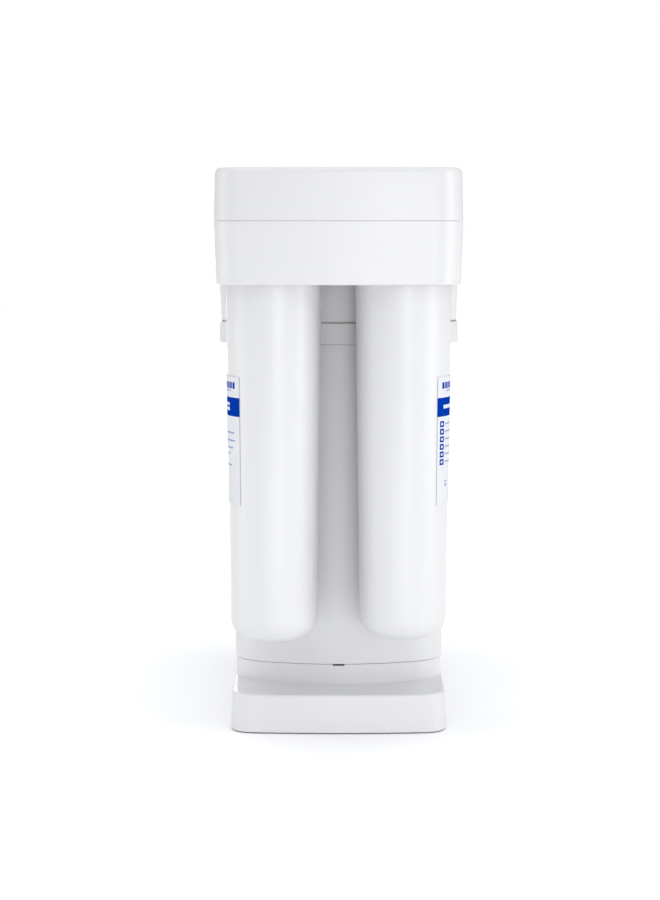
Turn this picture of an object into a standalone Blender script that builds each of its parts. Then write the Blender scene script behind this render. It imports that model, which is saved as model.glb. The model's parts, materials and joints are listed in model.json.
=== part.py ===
"""Under-sink reverse-osmosis water filter with a built-in tank.

A long head carries two click-and-turn filter modules at each end. Between them stands the tank
housing, with a round pressure vessel inside, on a stand. The head is closed by a lift-off lid.
The photographed end faces -Y, X runs across the unit and Z is up, with the floor at zero.
"""

import math

import bmesh
import bpy
from mathutils import Matrix, Vector

MM = 0.001

# Gaps between pieces
FIT_GAP = 0.3 * MM  # face to face, where one piece rests on or in another
SEAM_GAP = 0.4 * MM  # the fine parting lines between the white mouldings
OVERRUN = 3.0 * MM  # how far a cutter passes the wall that it cuts
BITE = 1.5 * MM  # how far a shape sinks into the one that it is joined to
WELD = 0.001 * MM  # points closer than this are one point

# Facets
FULL_TURN = 2 * math.pi
QUARTER_TURN = math.pi / 2
CORNER_STEPS = 4
SIDE_STEPS = 2
MODULE_FACETS = 24
SOCKET_FACETS = 16
VESSEL_FACETS = 20
BLADDER_FACETS = 14
PORT_FACETS = 12
SMALL_FACETS = 10
FILLET_STEPS = 3
INSIDE_STEPS = 2
DOME_STEPS = 4
SECTOR_STEPS = 2
SHARP_ANGLE = math.radians(35)


def bore_for(radius, facets, gap=FIT_GAP):
    """Radius of a faceted bore whose flats, not only its corners, clear a round pin by the gap."""
    return (radius + gap) / math.cos(math.pi / facets)


# Filter modules, two at each end of the tank
MODULE_RADIUS = 35.1 * MM
MODULE_DRAFT = 3.3 * MM
MODULE_WALL = 2.2 * MM
MODULE_FLOOR_RADIUS = 12.0 * MM
MODULE_FOOT_RISE = 15.0 * MM
MODULE_SIDE_GAP = 24.8 * MM
MODULE_TANK_GAP = 1.1 * MM
MODULE_HOLE_GAP = 1.2 * MM
MODULE_LIFT_LONG = 42.4 * MM  # height of a long module's foot over the stand
MODULE_LIFT_SHORT = 44.4 * MM
CAP_FLANGE = 2.5 * MM
CAP_PLUG = 8.0 * MM
CAP_STEP = 11.1 * MM
CAP_SHOULDER_MARGIN = 0.6 * MM
CAP_NECK_RADIUS = 12.8 * MM
CAP_NOSE = 3.0 * MM
CAP_BORE_RADIUS = 4.0 * MM
SEAL_GROOVE_DEPTH = 2.3 * MM
SEAL_GROOVE_START = 1.7 * MM
SEAL_GROOVE_HEIGHT = 8.0 * MM
SEAL_WAIST = 1.0 * MM
LUG_REACH = 5.0 * MM
LUG_HEIGHT = 3.5 * MM
LUG_COUNT = 3
LUG_ARC = math.radians(36)
LEDGE_ARC = math.radians(60)
LEDGE_HEIGHT = 2.7 * MM
ELEMENT_CLEARANCE = 2.7 * MM
ELEMENT_SPIGOT_RADIUS = 9.0 * MM
ELEMENT_SPIGOT_HEIGHT = 17.0 * MM
ELEMENT_NECK_HEIGHT = 8.5 * MM
LABEL_THICKNESS = 0.25 * MM
LABEL_TOP_DROP = 73.5 * MM
LABEL_HEIGHT = 96.5 * MM
LABEL_START_FACETS = 3
LABEL_SPAN_FACETS = 7

# Tank housing
TANK_LENGTH = 208.0 * MM
TANK_SHELL_HEIGHT = 244.0 * MM
TANK_CORNER = 19.0 * MM
TANK_SIDE_BOW = 1.2 * MM
TANK_END_BOW = 19.0 * MM
TANK_WALL = 2.5 * MM
TANK_DRAFT = 1.2 * MM

# Tank cover, whose wide sides are a grip, and the neck between it and the head
COVER_GRIP = 13.2 * MM  # how far the cover's sides stand out from the shell's foot
COVER_END_REACH = 1.8 * MM
COVER_CORNER = 26.0 * MM
COVER_SIDE_BOW = 2.7 * MM
COVER_FLARE = 0.6 * MM
COVER_HEIGHT = 16.0 * MM
COVER_WEB = 2.5 * MM
COVER_TONGUE = 8.0 * MM
VESSEL_HOLE_RADIUS = 45.0 * MM
NECK_LINE = 1.0 * MM
NECK_SETBACK = 0.5 * MM
NECK_WAIST = 1.0 * MM
NECK_WALL = 2.5 * MM
NECK_BAND = 3.2 * MM

# Head: the lid and the case, one pillow-shaped outline
HEAD_SIDE_MARGIN = 12.4 * MM  # from a module's side to the head's side
HEAD_END_MARGIN = 8.4 * MM
HEAD_OVERHANG = 1.3 * MM
HEAD_CORNER = 19.0 * MM
HEAD_SIDE_BOW = 4.7 * MM
HEAD_END_BOW = 5.5 * MM
HEAD_WALL = 2.5 * MM
LID_HEIGHT = 38.0 * MM
LID_DRAFT = 0.8 * MM
LID_EDGE = 5.0 * MM
LID_TONGUE = 4.0 * MM
CASE_HEIGHT = 45.8 * MM
CASE_DRAFT = 1.6 * MM
CASE_FLOOR = 2.5 * MM
CASE_FLOOR_RISE = 2.5 * MM

# Stand
STAND_SIDE_LEDGE = 1.0 * MM
STAND_END_LEDGE = 36.0 * MM
STAND_CORNER = 15.0 * MM
STAND_SIDE_BOW = 0.8 * MM
STAND_END_BOW = 4.0 * MM
STAND_DRAFT = 1.0 * MM
STAND_EDGE = 4.0 * MM
STAND_WALL = 3.6 * MM
STAND_DECK = 2.8 * MM
STAND_HEIGHT = 28.3 * MM
STAND_COLLAR_HEIGHT = 14.5 * MM
STAND_COLLAR_ROOT = 8.0 * MM
STAND_COLLAR_SETBACK = 0.5 * MM
STAND_TONGUE = 4.5 * MM
NOTCH_WIDTH = 8.8 * MM
NOTCH_HEIGHT = 1.3 * MM
PLATE_THICKNESS = 2.0 * MM
PLATE_REBATE = 1.6 * MM
FOOT_RADIUS = 7.5 * MM
FOOT_THICKNESS = 1.5 * MM
FOOT_BEVEL = 0.5 * MM
FOOT_RISE = 0.8 * MM
FOOT_SIDE_INSET = 42.7 * MM
FOOT_END_INSET = 16.0 * MM

# Sockets and manifold in the head
SOCKET_CLEARANCE = 0.6 * MM
SOCKET_WALL = 3.0 * MM
SOCKET_ROOF = 3.0 * MM
SOCKET_BOSS_WALL = 3.9 * MM
SOCKET_HEADROOM = 1.2 * MM
SOCKET_BORE_SPARE = 2.7 * MM
MANIFOLD_RIM = 14.5 * MM
MANIFOLD_CORNER = 34.0 * MM
MANIFOLD_DECK = 4.0 * MM
MANIFOLD_COLLAR_WALL = 3.0 * MM
MANIFOLD_COLLAR_HEIGHT = 9.0 * MM
CHANNEL_RADIUS = 4.5 * MM
CHANNEL_RISE = 4.0 * MM
PILLAR_RADIUS = 5.0 * MM
PILLAR_SIDE_INSET = 9.0 * MM
PILLAR_SOCKET_GAP = 19.0 * MM
SCREW_RADIUS = 2.2 * MM
SCREW_HEAD_RADIUS = 4.4 * MM
SCREW_HEAD_HEIGHT = 2.6 * MM
SCREW_CROWN = 0.9 * MM

# Control valve, check valve and flow restrictor on the manifold
VALVE_RADIUS = 27.0 * MM
VALVE_BODY_HEIGHT = 14.4 * MM
VALVE_BODY_FLOOR = 6.4 * MM
VALVE_BODY_WALL = 7.0 * MM
VALVE_CAP_HEIGHT = 14.0 * MM
VALVE_CAP_ROOF = 3.0 * MM
VALVE_CAP_WALL = 9.0 * MM
VALVE_CAP_BEVEL = 1.5 * MM
DIAPHRAGM_THICKNESS = 1.5 * MM
DIAPHRAGM_INSET = 3.0 * MM
PLUNGER_STEM_RADIUS = 5.0 * MM
PLUNGER_CLEARANCE = 5.0 * MM
PLUNGER_TRAVEL = 2.0 * MM
PLUNGER_SPIGOT_RADIUS = 6.0 * MM
PLUNGER_SPIGOT_HEIGHT = 5.0 * MM
SPRING_CLEARANCE = 2.2 * MM
SPRING_WIRE = 0.8 * MM
SPRING_TURNS = 4
SPRING_POINTS_PER_TURN = 10
INSERT_RADIUS = 9.0 * MM
INSERT_HEIGHT = 20.0 * MM
INSERT_NOSE = 2.0 * MM
INSERT_VALVE_GAP = 39.0 * MM

# Pressure vessel in the tank housing
VESSEL_CLEARANCE = 2.5 * MM
VESSEL_WALL = 3.0 * MM
VESSEL_DOME_HEIGHT = 34.0 * MM
VESSEL_NECK_RADIUS = 12.0 * MM
VESSEL_NECK_DROP = 20.3 * MM
SADDLE_HEIGHT = 12.6 * MM
BLADDER_INSET = 6.0 * MM
BLADDER_WALL = 1.5 * MM
STEM_RADIUS = 6.0 * MM
STEM_BORE_RADIUS = 3.6 * MM
STEM_FLANGE = 3.0 * MM
STEM_DIP = 18.0 * MM
STEM_HEADROOM = 6.5 * MM
NUT_WALL = 3.2 * MM
NUT_SKIRT = 12.0 * MM
NUT_ROOF = 3.0 * MM
BOSS_WALL = 4.0 * MM
BOSS_NUT_GAP = 2.2 * MM

# Tube ports in the neck's recess, and the tubes that join them to the manifold
PORT_NAMES = ("inlet", "drain", "tap")
PORT_GAP = 13.0 * MM
PORT_RADIUS = 8.5 * MM
PORT_LENGTH = 27.5 * MM
PORT_PROUD = 2.1 * MM
PORT_TUBE_RADIUS = 3.5 * MM
PORT_PLATE = 2.5 * MM
PORT_PLATE_MARGIN = 6.0 * MM
PORT_WINDOW_MARGIN = 3.4 * MM
COLLET_RADIUS = 5.3 * MM
COLLET_BORE_RADIUS = 3.3 * MM
COLLET_LENGTH = 10.0 * MM
COLLET_FLANGE_RADIUS = 7.0 * MM
COLLET_FLANGE = 1.5 * MM
COLLET_TRAVEL = 1.5 * MM
LINK_TUBE_RADIUS = 3.175 * MM
LINK_TUBE_BEND = 11.0 * MM
LINK_TUBE_RUN = 9.0 * MM
LINK_BEND_STEPS = 5

# Widths, from the modules outwards and then down to the stand
MODULE_SPACING_X = 2 * MODULE_RADIUS + MODULE_SIDE_GAP
HEAD_WIDTH = MODULE_SPACING_X + 2 * (MODULE_RADIUS + HEAD_SIDE_MARGIN)
COVER_WIDTH = HEAD_WIDTH - 2 * HEAD_OVERHANG
NECK_WIDTH = COVER_WIDTH - 2 * NECK_SETBACK
TANK_WIDTH = COVER_WIDTH - 2 * COVER_GRIP
STAND_WIDTH = TANK_WIDTH + 2 * STAND_SIDE_LEDGE
FOOT_SPACING_X = STAND_WIDTH - 2 * FOOT_SIDE_INSET
VESSEL_RADIUS = TANK_WIDTH / 2 - 2 * TANK_WALL - VESSEL_CLEARANCE

# Lengths, from the tank outwards
COVER_LENGTH = TANK_LENGTH + 2 * COVER_END_REACH
MODULE_SPACING_Y = COVER_LENGTH + 2 * (MODULE_TANK_GAP + MODULE_RADIUS)
HEAD_LENGTH = MODULE_SPACING_Y + 2 * (MODULE_RADIUS + HEAD_END_MARGIN)
STAND_LENGTH = TANK_LENGTH + 2 * STAND_END_LEDGE
FOOT_SPACING_Y = STAND_LENGTH - 2 * FOOT_END_INSET

# Heights that follow from the stack, from the floor up
NECK_HEIGHT = 2 * (PORT_RADIUS + PORT_WINDOW_MARGIN + NECK_BAND)
DECK_TOP = FOOT_RISE + STAND_HEIGHT
STAND_SHOULDER = DECK_TOP + STAND_COLLAR_HEIGHT
SHELL_BOTTOM = STAND_SHOULDER + SEAM_GAP
SHELL_TOP = SHELL_BOTTOM + TANK_SHELL_HEIGHT
COVER_BOTTOM = SHELL_TOP + FIT_GAP
COVER_WEB_TOP = COVER_BOTTOM + COVER_WEB
COVER_TOP = COVER_BOTTOM + COVER_HEIGHT
NECK_BOTTOM = COVER_TOP + NECK_LINE
NECK_TOP = NECK_BOTTOM + NECK_HEIGHT
CASE_BOTTOM = NECK_TOP + FIT_GAP
FLOOR_UNDERSIDE = CASE_BOTTOM + CASE_FLOOR_RISE
FLOOR_TOP = FLOOR_UNDERSIDE + CASE_FLOOR
CASE_TOP = CASE_BOTTOM + CASE_HEIGHT
LID_BOTTOM = CASE_TOP + SEAM_GAP
LID_TOP = LID_BOTTOM + LID_HEIGHT

# Heights and radii of the module cap, and of the socket that grips it
MODULE_TOP = FLOOR_TOP
FLANGE_BOTTOM = MODULE_TOP + FIT_GAP
FLANGE_TOP = FLANGE_BOTTOM + CAP_FLANGE
SOCKET_BOTTOM = FLANGE_TOP + SEAM_GAP
LEDGE_TOP = SOCKET_BOTTOM + LEDGE_HEIGHT
LUG_BOTTOM = LEDGE_TOP + FIT_GAP
LUG_TOP = LUG_BOTTOM + LUG_HEIGHT
SHOULDER_TOP = LUG_TOP + CAP_SHOULDER_MARGIN
GROOVE_BOTTOM = SHOULDER_TOP + SEAL_GROOVE_START
GROOVE_TOP = GROOVE_BOTTOM + SEAL_GROOVE_HEIGHT
CAP_TOP = GROOVE_TOP + CAP_NOSE
SHOULDER_RADIUS = MODULE_RADIUS - CAP_STEP
LUG_RADIUS = SHOULDER_RADIUS + LUG_REACH
SOCKET_CEILING = SHOULDER_TOP + SOCKET_HEADROOM
SOCKET_TOP = SOCKET_CEILING + SOCKET_ROOF
SOCKET_INNER = bore_for(LUG_RADIUS, SOCKET_FACETS, SOCKET_CLEARANCE)
SOCKET_OUTER = SOCKET_INNER + SOCKET_WALL
SOCKET_BORE = bore_for(CAP_NECK_RADIUS, SOCKET_FACETS)
SOCKET_BOSS = SOCKET_BORE + SOCKET_BOSS_WALL
SOCKET_BORE_TOP = CAP_TOP + SOCKET_BORE_SPARE
SOCKET_BOSS_TOP = SOCKET_BORE_TOP + SOCKET_ROOF
ELEMENT_RADIUS = MODULE_RADIUS - MODULE_DRAFT - MODULE_WALL - ELEMENT_CLEARANCE

# Manifold, pillars and what stands on the manifold
MANIFOLD_WIDTH = MODULE_SPACING_X + 2 * (SOCKET_BOSS + MANIFOLD_RIM)
MANIFOLD_LENGTH = MODULE_SPACING_Y + 2 * (SOCKET_BOSS + MANIFOLD_RIM)
PILLAR_SPACING_X = MANIFOLD_WIDTH - 2 * PILLAR_SIDE_INSET
PILLAR_SPACING_Y = MODULE_SPACING_Y - 2 * (SOCKET_OUTER + PILLAR_SOCKET_GAP)
INSERT_SPACING = 2 * (VALVE_RADIUS + INSERT_RADIUS + INSERT_VALVE_GAP)
SCREW_HOLE = bore_for(SCREW_RADIUS, SMALL_FACETS)
MANIFOLD_BOTTOM = SOCKET_TOP + FIT_GAP
MANIFOLD_TOP = MANIFOLD_BOTTOM + MANIFOLD_DECK
COLLAR_TOP = MANIFOLD_TOP + MANIFOLD_COLLAR_HEIGHT
VALVE_BOTTOM = MANIFOLD_TOP + FIT_GAP
VALVE_FLOOR = VALVE_BOTTOM + VALVE_BODY_FLOOR
VALVE_SPLIT = VALVE_BOTTOM + VALVE_BODY_HEIGHT
DIAPHRAGM_BOTTOM = VALVE_SPLIT + FIT_GAP
DIAPHRAGM_TOP = DIAPHRAGM_BOTTOM + DIAPHRAGM_THICKNESS
VALVE_CAP_BOTTOM = DIAPHRAGM_TOP + FIT_GAP
VALVE_TOP = VALVE_CAP_BOTTOM + VALVE_CAP_HEIGHT
VALVE_CAP_CEILING = VALVE_TOP - VALVE_CAP_ROOF
PLUNGER_SEAT = VALVE_FLOOR + FIT_GAP
PLUNGER_SHELF = VALVE_SPLIT - PLUNGER_TRAVEL
PLUNGER_HEAD_RADIUS = VALVE_RADIUS - VALVE_BODY_WALL - PLUNGER_CLEARANCE
SPRING_RADIUS = PLUNGER_SPIGOT_RADIUS + SPRING_CLEARANCE + SPRING_WIRE

# Heights of the vessel, whose domes sit in the saddle's hole and under the cover's hole
SADDLE_BOTTOM = DECK_TOP + FIT_GAP
SADDLE_TOP = SADDLE_BOTTOM + SADDLE_HEIGHT
DOME_AT_HOLE = VESSEL_DOME_HEIGHT * math.sqrt(1 - (VESSEL_HOLE_RADIUS / VESSEL_RADIUS) ** 2)
VESSEL_BELLY_BOTTOM = SADDLE_TOP + FIT_GAP + DOME_AT_HOLE
VESSEL_BELLY_TOP = COVER_BOTTOM - FIT_GAP - DOME_AT_HOLE
VESSEL_WELD_HEIGHT = (VESSEL_BELLY_BOTTOM + VESSEL_BELLY_TOP) / 2
VESSEL_NECK_TOP = FLOOR_UNDERSIDE - VESSEL_NECK_DROP
BLADDER_FLANGE_BOTTOM = VESSEL_NECK_TOP + FIT_GAP
BLADDER_FLANGE_TOP = BLADDER_FLANGE_BOTTOM + BLADDER_WALL
STEM_FLANGE_BOTTOM = BLADDER_FLANGE_TOP + FIT_GAP
STEM_FLANGE_TOP = STEM_FLANGE_BOTTOM + STEM_FLANGE
STEM_TOP = MANIFOLD_BOTTOM - STEM_HEADROOM
NUT_CEILING = STEM_FLANGE_TOP + FIT_GAP
NUT_TOP = NUT_CEILING + NUT_ROOF
BOSS_BOTTOM = NUT_TOP + BOSS_NUT_GAP
BOSS_BORE = bore_for(STEM_RADIUS, SMALL_FACETS)
BOSS_RADIUS = BOSS_BORE + BOSS_WALL

# Places of the ports, behind the bowed wall of the neck
PORT_SPACING = 2 * PORT_RADIUS + PORT_GAP
PORT_HEIGHT = (NECK_BOTTOM + NECK_TOP) / 2
PORT_PLATE_HALF = PORT_SPACING + PORT_RADIUS + PORT_PLATE_MARGIN
NECK_INSET = COVER_FLARE + TANK_WALL + FIT_GAP + NECK_WALL
NECK_BOW_AT_PLATE = COVER_SIDE_BOW * (PORT_PLATE_HALF / (COVER_LENGTH / 2 - COVER_CORNER)) ** 2
PORT_PLATE_FACE = COVER_WIDTH / 2 - NECK_INSET - NECK_BOW_AT_PLATE - FIT_GAP
PORT_FACE = PORT_PLATE_FACE + PORT_PROUD
PORT_BACK = PORT_FACE - PORT_LENGTH
LINK_TUBE_X = PORT_BACK - FIT_GAP - LINK_TUBE_RUN - LINK_TUBE_BEND
COLLET_FLANGE_BACK = PORT_FACE + FIT_GAP + COLLET_TRAVEL
COLLET_FACE = COLLET_FLANGE_BACK + COLLET_FLANGE

COLOURS = {
    "white_gloss": ((0.86, 0.87, 0.88), 0.28, 0.0),
    "white_satin": ((0.82, 0.83, 0.85), 0.45, 0.0),
    "natural_plastic": ((0.78, 0.79, 0.78), 0.5, 0.0),
    "label_film": ((0.80, 0.81, 0.83), 0.4, 0.0),
    "grey_plastic": ((0.30, 0.32, 0.34), 0.5, 0.0),
    "black_rubber": ((0.03, 0.03, 0.03), 0.8, 0.0),
    "clear_film": ((0.62, 0.68, 0.72), 0.35, 0.0),
    "carbon_block": ((0.05, 0.05, 0.055), 0.85, 0.0),
    "blue_plastic": ((0.01, 0.08, 0.45), 0.4, 0.0),
    "steel": ((0.62, 0.62, 0.63), 0.3, 1.0),
}


def clear_scene():
    for obj in list(bpy.data.objects):
        bpy.data.objects.remove(obj, do_unlink=True)


def material(slot):
    """The Principled material of a slot, made once."""
    made = bpy.data.materials.get(slot)
    if made is None:
        colour, roughness, metallic = COLOURS[slot]
        made = bpy.data.materials.new(slot)
        made.use_nodes = True
        shader = made.node_tree.nodes["Principled BSDF"]
        shader.inputs["Base Color"].default_value = (*colour, 1.0)
        shader.inputs["Roughness"].default_value = roughness
        shader.inputs["Metallic"].default_value = metallic
    return made


def outline(width, length, corner, side_bow, end_bow, z):
    """A rounded rectangle whose sides and ends bow outwards, as one ring of points at a height.

    The bow draws each point of a side in by its share of the square of the distance from the middle.
    """
    half_x = width / 2
    half_y = length / 2
    quarter = []
    for step in range(SIDE_STEPS):
        quarter.append((half_x, (half_y - corner) * step / SIDE_STEPS))
    for step in range(CORNER_STEPS + 1):
        turn = QUARTER_TURN * step / CORNER_STEPS
        across = half_x - corner + corner * math.cos(turn)
        along = half_y - corner + corner * math.sin(turn)
        quarter.append((across, along))
    for step in range(1, SIDE_STEPS):
        quarter.append(((half_x - corner) * (1 - step / SIDE_STEPS), half_y))
    back = [(0, half_y)] + list(reversed(quarter[1:]))
    ring = []
    for points, sign_x, sign_y in ((quarter, 1, 1), (back, -1, 1), (quarter, -1, -1), (back, 1, -1)):
        ring += [(sign_x * x, sign_y * y) for x, y in points]
    bowed = []
    for x, y in ring:
        share_x, share_y = x / half_x, y / half_y
        bowed.append(Vector((x - side_bow * share_y**2 * share_x, y - end_bow * share_x**2 * share_y, z)))
    return bowed


def circle(radius, z, like):
    """A round ring with a point in the direction of each point of another ring."""
    return [Vector((point.x, point.y, 0)).normalized() * radius + Vector((0, 0, z)) for point in like]


def add_loft(mesh, rings, wrap=False):
    """Joins rings of equal count by quads, and closes the ends, or joins the last ring to the first."""
    made = [[mesh.verts.new(point) for point in ring] for ring in rings]
    pairs = list(zip(made, made[1:]))
    if wrap:
        pairs.append((made[-1], made[0]))
    for low, high in pairs:
        for index in range(len(low)):
            after = (index + 1) % len(low)
            mesh.faces.new((low[index], low[after], high[after], high[index]))
    if not wrap:
        mesh.faces.new(list(reversed(made[0])))
        mesh.faces.new(made[-1])


def add_turned(mesh, profile, facets, along_x, closed):
    """Spins a profile of (radius, height) points round the Z axis, or round X when along_x is set.

    A closed profile joins its last point to its first; an open one starts and ends on the axis.
    """
    points = list(profile) + ([profile[0]] if closed else [])
    verts = [mesh.verts.new((radius, 0, height)) for radius, height in points]
    edges = [mesh.edges.new(pair) for pair in zip(verts, verts[1:])]
    bmesh.ops.spin(mesh, geom=verts + edges, angle=FULL_TURN, steps=facets, axis=(0, 0, 1), cent=(0, 0, 0))
    bmesh.ops.remove_doubles(mesh, verts=mesh.verts, dist=WELD)
    if along_x:
        turn = Matrix.Rotation(QUARTER_TURN, 3, "Y")
        bmesh.ops.rotate(mesh, verts=mesh.verts, cent=(0, 0, 0), matrix=turn)


def add_cylinder(mesh, radius, low, high, facets):
    """A plain cylinder from one point to another."""
    low, high = Vector(low), Vector(high)
    turn = (high - low).to_track_quat("Z", "Y").to_matrix().to_4x4()
    bmesh.ops.create_cone(
        mesh,
        cap_ends=True,
        segments=facets,
        radius1=radius,
        radius2=radius,
        depth=(high - low).length,
        matrix=Matrix.Translation((low + high) / 2) @ turn,
    )


def add_box(mesh, low, high):
    low, high = Vector(low), Vector(high)
    size = Matrix.Diagonal((*(high - low), 1))
    bmesh.ops.create_cube(mesh, size=1, matrix=Matrix.Translation((low + high) / 2) @ size)


def add_sector(mesh, inner, outer, low, high, middle, arc):
    """A curved block between two radii and two heights, centred on an angle."""
    columns = []
    for step in range(SECTOR_STEPS + 1):
        turn = middle - arc / 2 + arc * step / SECTOR_STEPS
        side = Vector((math.cos(turn), math.sin(turn), 0))
        corners = ((inner, low), (outer, low), (outer, high), (inner, high))
        columns.append([side * radius + Vector((0, 0, z)) for radius, z in corners])
    add_loft(mesh, columns)


def finish(name, mesh, slot, place=(0, 0, 0), helper=False):
    """Turns a bmesh into a named object, with its faces pointing out."""
    bmesh.ops.recalc_face_normals(mesh, faces=mesh.faces)
    data = bpy.data.meshes.new(name)
    mesh.to_mesh(data)
    mesh.free()
    obj = bpy.data.objects.new(name, data)
    obj.location = place
    bpy.context.scene.collection.objects.link(obj)
    if helper:
        obj.hide_render = True
        obj.display_type = "WIRE"
    else:
        data.materials.append(material(slot))
        data.shade_smooth()
        data.set_sharp_from_angle(angle=SHARP_ANGLE)
    return obj


def combine(obj, mesh, operation, label):
    """Cuts a helper mesh from an object, or joins it on, with a Boolean that stays live."""
    helper = finish(f"{obj.name}_{label}", mesh, None, obj.location, helper=True)
    step = obj.modifiers.new(label, "BOOLEAN")
    step.operation = operation
    step.solver = "EXACT"
    step.object = helper


def cut(obj, mesh, label):
    combine(obj, mesh, "DIFFERENCE", label)


def fuse(obj, mesh, label):
    combine(obj, mesh, "UNION", label)


def turned(name, profile, facets, slot, place=(0, 0, 0), along_x=False, closed=True):
    mesh = bmesh.new()
    add_turned(mesh, profile, facets, along_x, closed)
    return finish(name, mesh, slot, place)


def head_ring(inset, z, draft=0):
    return outline(
        HEAD_WIDTH - 2 * (inset + draft),
        HEAD_LENGTH - 2 * (inset + draft),
        HEAD_CORNER - inset,
        HEAD_SIDE_BOW,
        HEAD_END_BOW,
        z,
    )


def case_ring(inset, z):
    """The case narrows downwards, by its draft over its height."""
    return head_ring(inset, z, CASE_DRAFT * (CASE_TOP - z) / CASE_HEIGHT)


def lid_ring(inset, z):
    return head_ring(inset, z, LID_DRAFT * max(z - LID_BOTTOM, 0) / LID_HEIGHT)


def shell_ring(inset, z):
    """The tank shell widens upwards, by its draft over its height."""
    grow = 2 * TANK_DRAFT * (z - SHELL_BOTTOM) / TANK_SHELL_HEIGHT
    return outline(
        TANK_WIDTH + grow - 2 * inset,
        TANK_LENGTH + grow - 2 * inset,
        TANK_CORNER - inset,
        TANK_SIDE_BOW,
        TANK_END_BOW,
        z,
    )


def cover_ring(inset, z, width=COVER_WIDTH):
    return outline(
        width - 2 * inset, COVER_LENGTH - 2 * inset, COVER_CORNER - inset, COVER_SIDE_BOW, TANK_END_BOW, z
    )


def stand_ring(inset, z):
    """The stand narrows upwards, by its draft over its height."""
    draft = STAND_DRAFT * (z - FOOT_RISE) / STAND_HEIGHT
    return outline(
        STAND_WIDTH - 2 * (inset + draft),
        STAND_LENGTH - 2 * (inset + draft),
        STAND_CORNER - inset,
        STAND_SIDE_BOW,
        STAND_END_BOW,
        z,
    )


def rounded(radius):
    """(inset, drop) of each step round a quarter circle, from the wall to the top."""
    steps = [QUARTER_TURN * step / FILLET_STEPS for step in range(FILLET_STEPS + 1)]
    return [(radius * (1 - math.cos(turn)), radius * (1 - math.sin(turn))) for turn in steps]


def module_places():
    """(name, x, y, foot height) of each module: 1 and 2 at the photographed end, 3 and 4 beyond."""
    half_x = MODULE_SPACING_X / 2
    half_y = MODULE_SPACING_Y / 2
    return (
        ("module_1", -half_x, -half_y, DECK_TOP + MODULE_LIFT_LONG),
        ("module_2", half_x, -half_y, DECK_TOP + MODULE_LIFT_SHORT),
        ("module_3", half_x, half_y, DECK_TOP + MODULE_LIFT_LONG),
        ("module_4", -half_x, half_y, DECK_TOP + MODULE_LIFT_SHORT),
    )


def pillar_places():
    half_x = PILLAR_SPACING_X / 2
    half_y = PILLAR_SPACING_Y / 2
    return ((-half_x, -half_y), (half_x, -half_y), (half_x, half_y), (-half_x, half_y))


def port_places():
    return [(name, PORT_SPACING * (index - 1)) for index, name in enumerate(PORT_NAMES)]


def build_lid():
    """The lift-off lid: a shell with a rounded top edge and a tongue that drops into the case."""
    mesh = bmesh.new()
    edge = [lid_ring(inset, LID_TOP - drop) for inset, drop in reversed(rounded(LID_EDGE))]
    tongue = HEAD_WALL + FIT_GAP
    rings = edge + [
        lid_ring(0, LID_BOTTOM),
        lid_ring(tongue, LID_BOTTOM),
        case_ring(tongue, LID_BOTTOM - LID_TONGUE),
        case_ring(tongue + HEAD_WALL, LID_BOTTOM - LID_TONGUE),
        lid_ring(tongue + HEAD_WALL, LID_TOP - HEAD_WALL),
    ]
    add_loft(mesh, rings)
    return finish("lid", mesh, "white_gloss")


def build_head_case():
    """The open case under the lid: walls round a raised floor that the modules hang through."""
    mesh = bmesh.new()
    add_loft(
        mesh,
        [
            case_ring(HEAD_WALL, FLOOR_UNDERSIDE),
            case_ring(HEAD_WALL, CASE_BOTTOM),
            case_ring(0, CASE_BOTTOM),
            case_ring(0, CASE_TOP),
            case_ring(HEAD_WALL, CASE_TOP),
            case_ring(HEAD_WALL, FLOOR_TOP),
        ],
    )
    case = finish("head_case", mesh, "white_gloss")
    low, high = FLOOR_UNDERSIDE - OVERRUN, FLOOR_TOP + OVERRUN
    holes = bmesh.new()
    module_hole = bore_for(MODULE_RADIUS, SOCKET_FACETS, MODULE_HOLE_GAP)
    tube_hole = bore_for(LINK_TUBE_RADIUS, SMALL_FACETS)
    for _, x, y, _ in module_places():
        add_cylinder(holes, module_hole, (x, y, low), (x, y, high), SOCKET_FACETS)
    for x, y in pillar_places():
        add_cylinder(holes, SCREW_HOLE, (x, y, low), (x, y, high), SMALL_FACETS)
    for _, y in port_places():
        add_cylinder(holes, tube_hole, (LINK_TUBE_X, y, low), (LINK_TUBE_X, y, high), SMALL_FACETS)
    add_cylinder(holes, bore_for(BOSS_RADIUS, SMALL_FACETS), (0, 0, low), (0, 0, high), SMALL_FACETS)
    cut(case, holes, "holes")
    return case


def build_neck():
    """The collar between the case and the tank cover, with a tongue at each end and a port window."""
    mesh = bmesh.new()
    tongue = NECK_INSET - NECK_WALL
    add_loft(
        mesh,
        [
            cover_ring(tongue, COVER_WEB_TOP + FIT_GAP),
            cover_ring(tongue, NECK_BOTTOM),
            cover_ring(0, NECK_BOTTOM, NECK_WIDTH - 2 * NECK_WAIST),
            cover_ring(0, NECK_TOP, NECK_WIDTH),
            cover_ring(tongue, NECK_TOP),
            cover_ring(tongue, FLOOR_UNDERSIDE - FIT_GAP),
            cover_ring(NECK_INSET, FLOOR_UNDERSIDE - FIT_GAP),
            cover_ring(NECK_INSET, COVER_WEB_TOP + FIT_GAP),
        ],
        wrap=True,
    )
    neck = finish("neck_collar", mesh, "white_gloss")
    window = bmesh.new()
    half_y = PORT_SPACING + PORT_RADIUS + PORT_WINDOW_MARGIN
    half_z = PORT_RADIUS + PORT_WINDOW_MARGIN
    add_box(
        window,
        (PORT_PLATE_FACE - OVERRUN, -half_y, PORT_HEIGHT - half_z),
        (NECK_WIDTH / 2 + OVERRUN, half_y, PORT_HEIGHT + half_z),
    )
    cut(neck, window, "port_window")
    return neck


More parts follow.
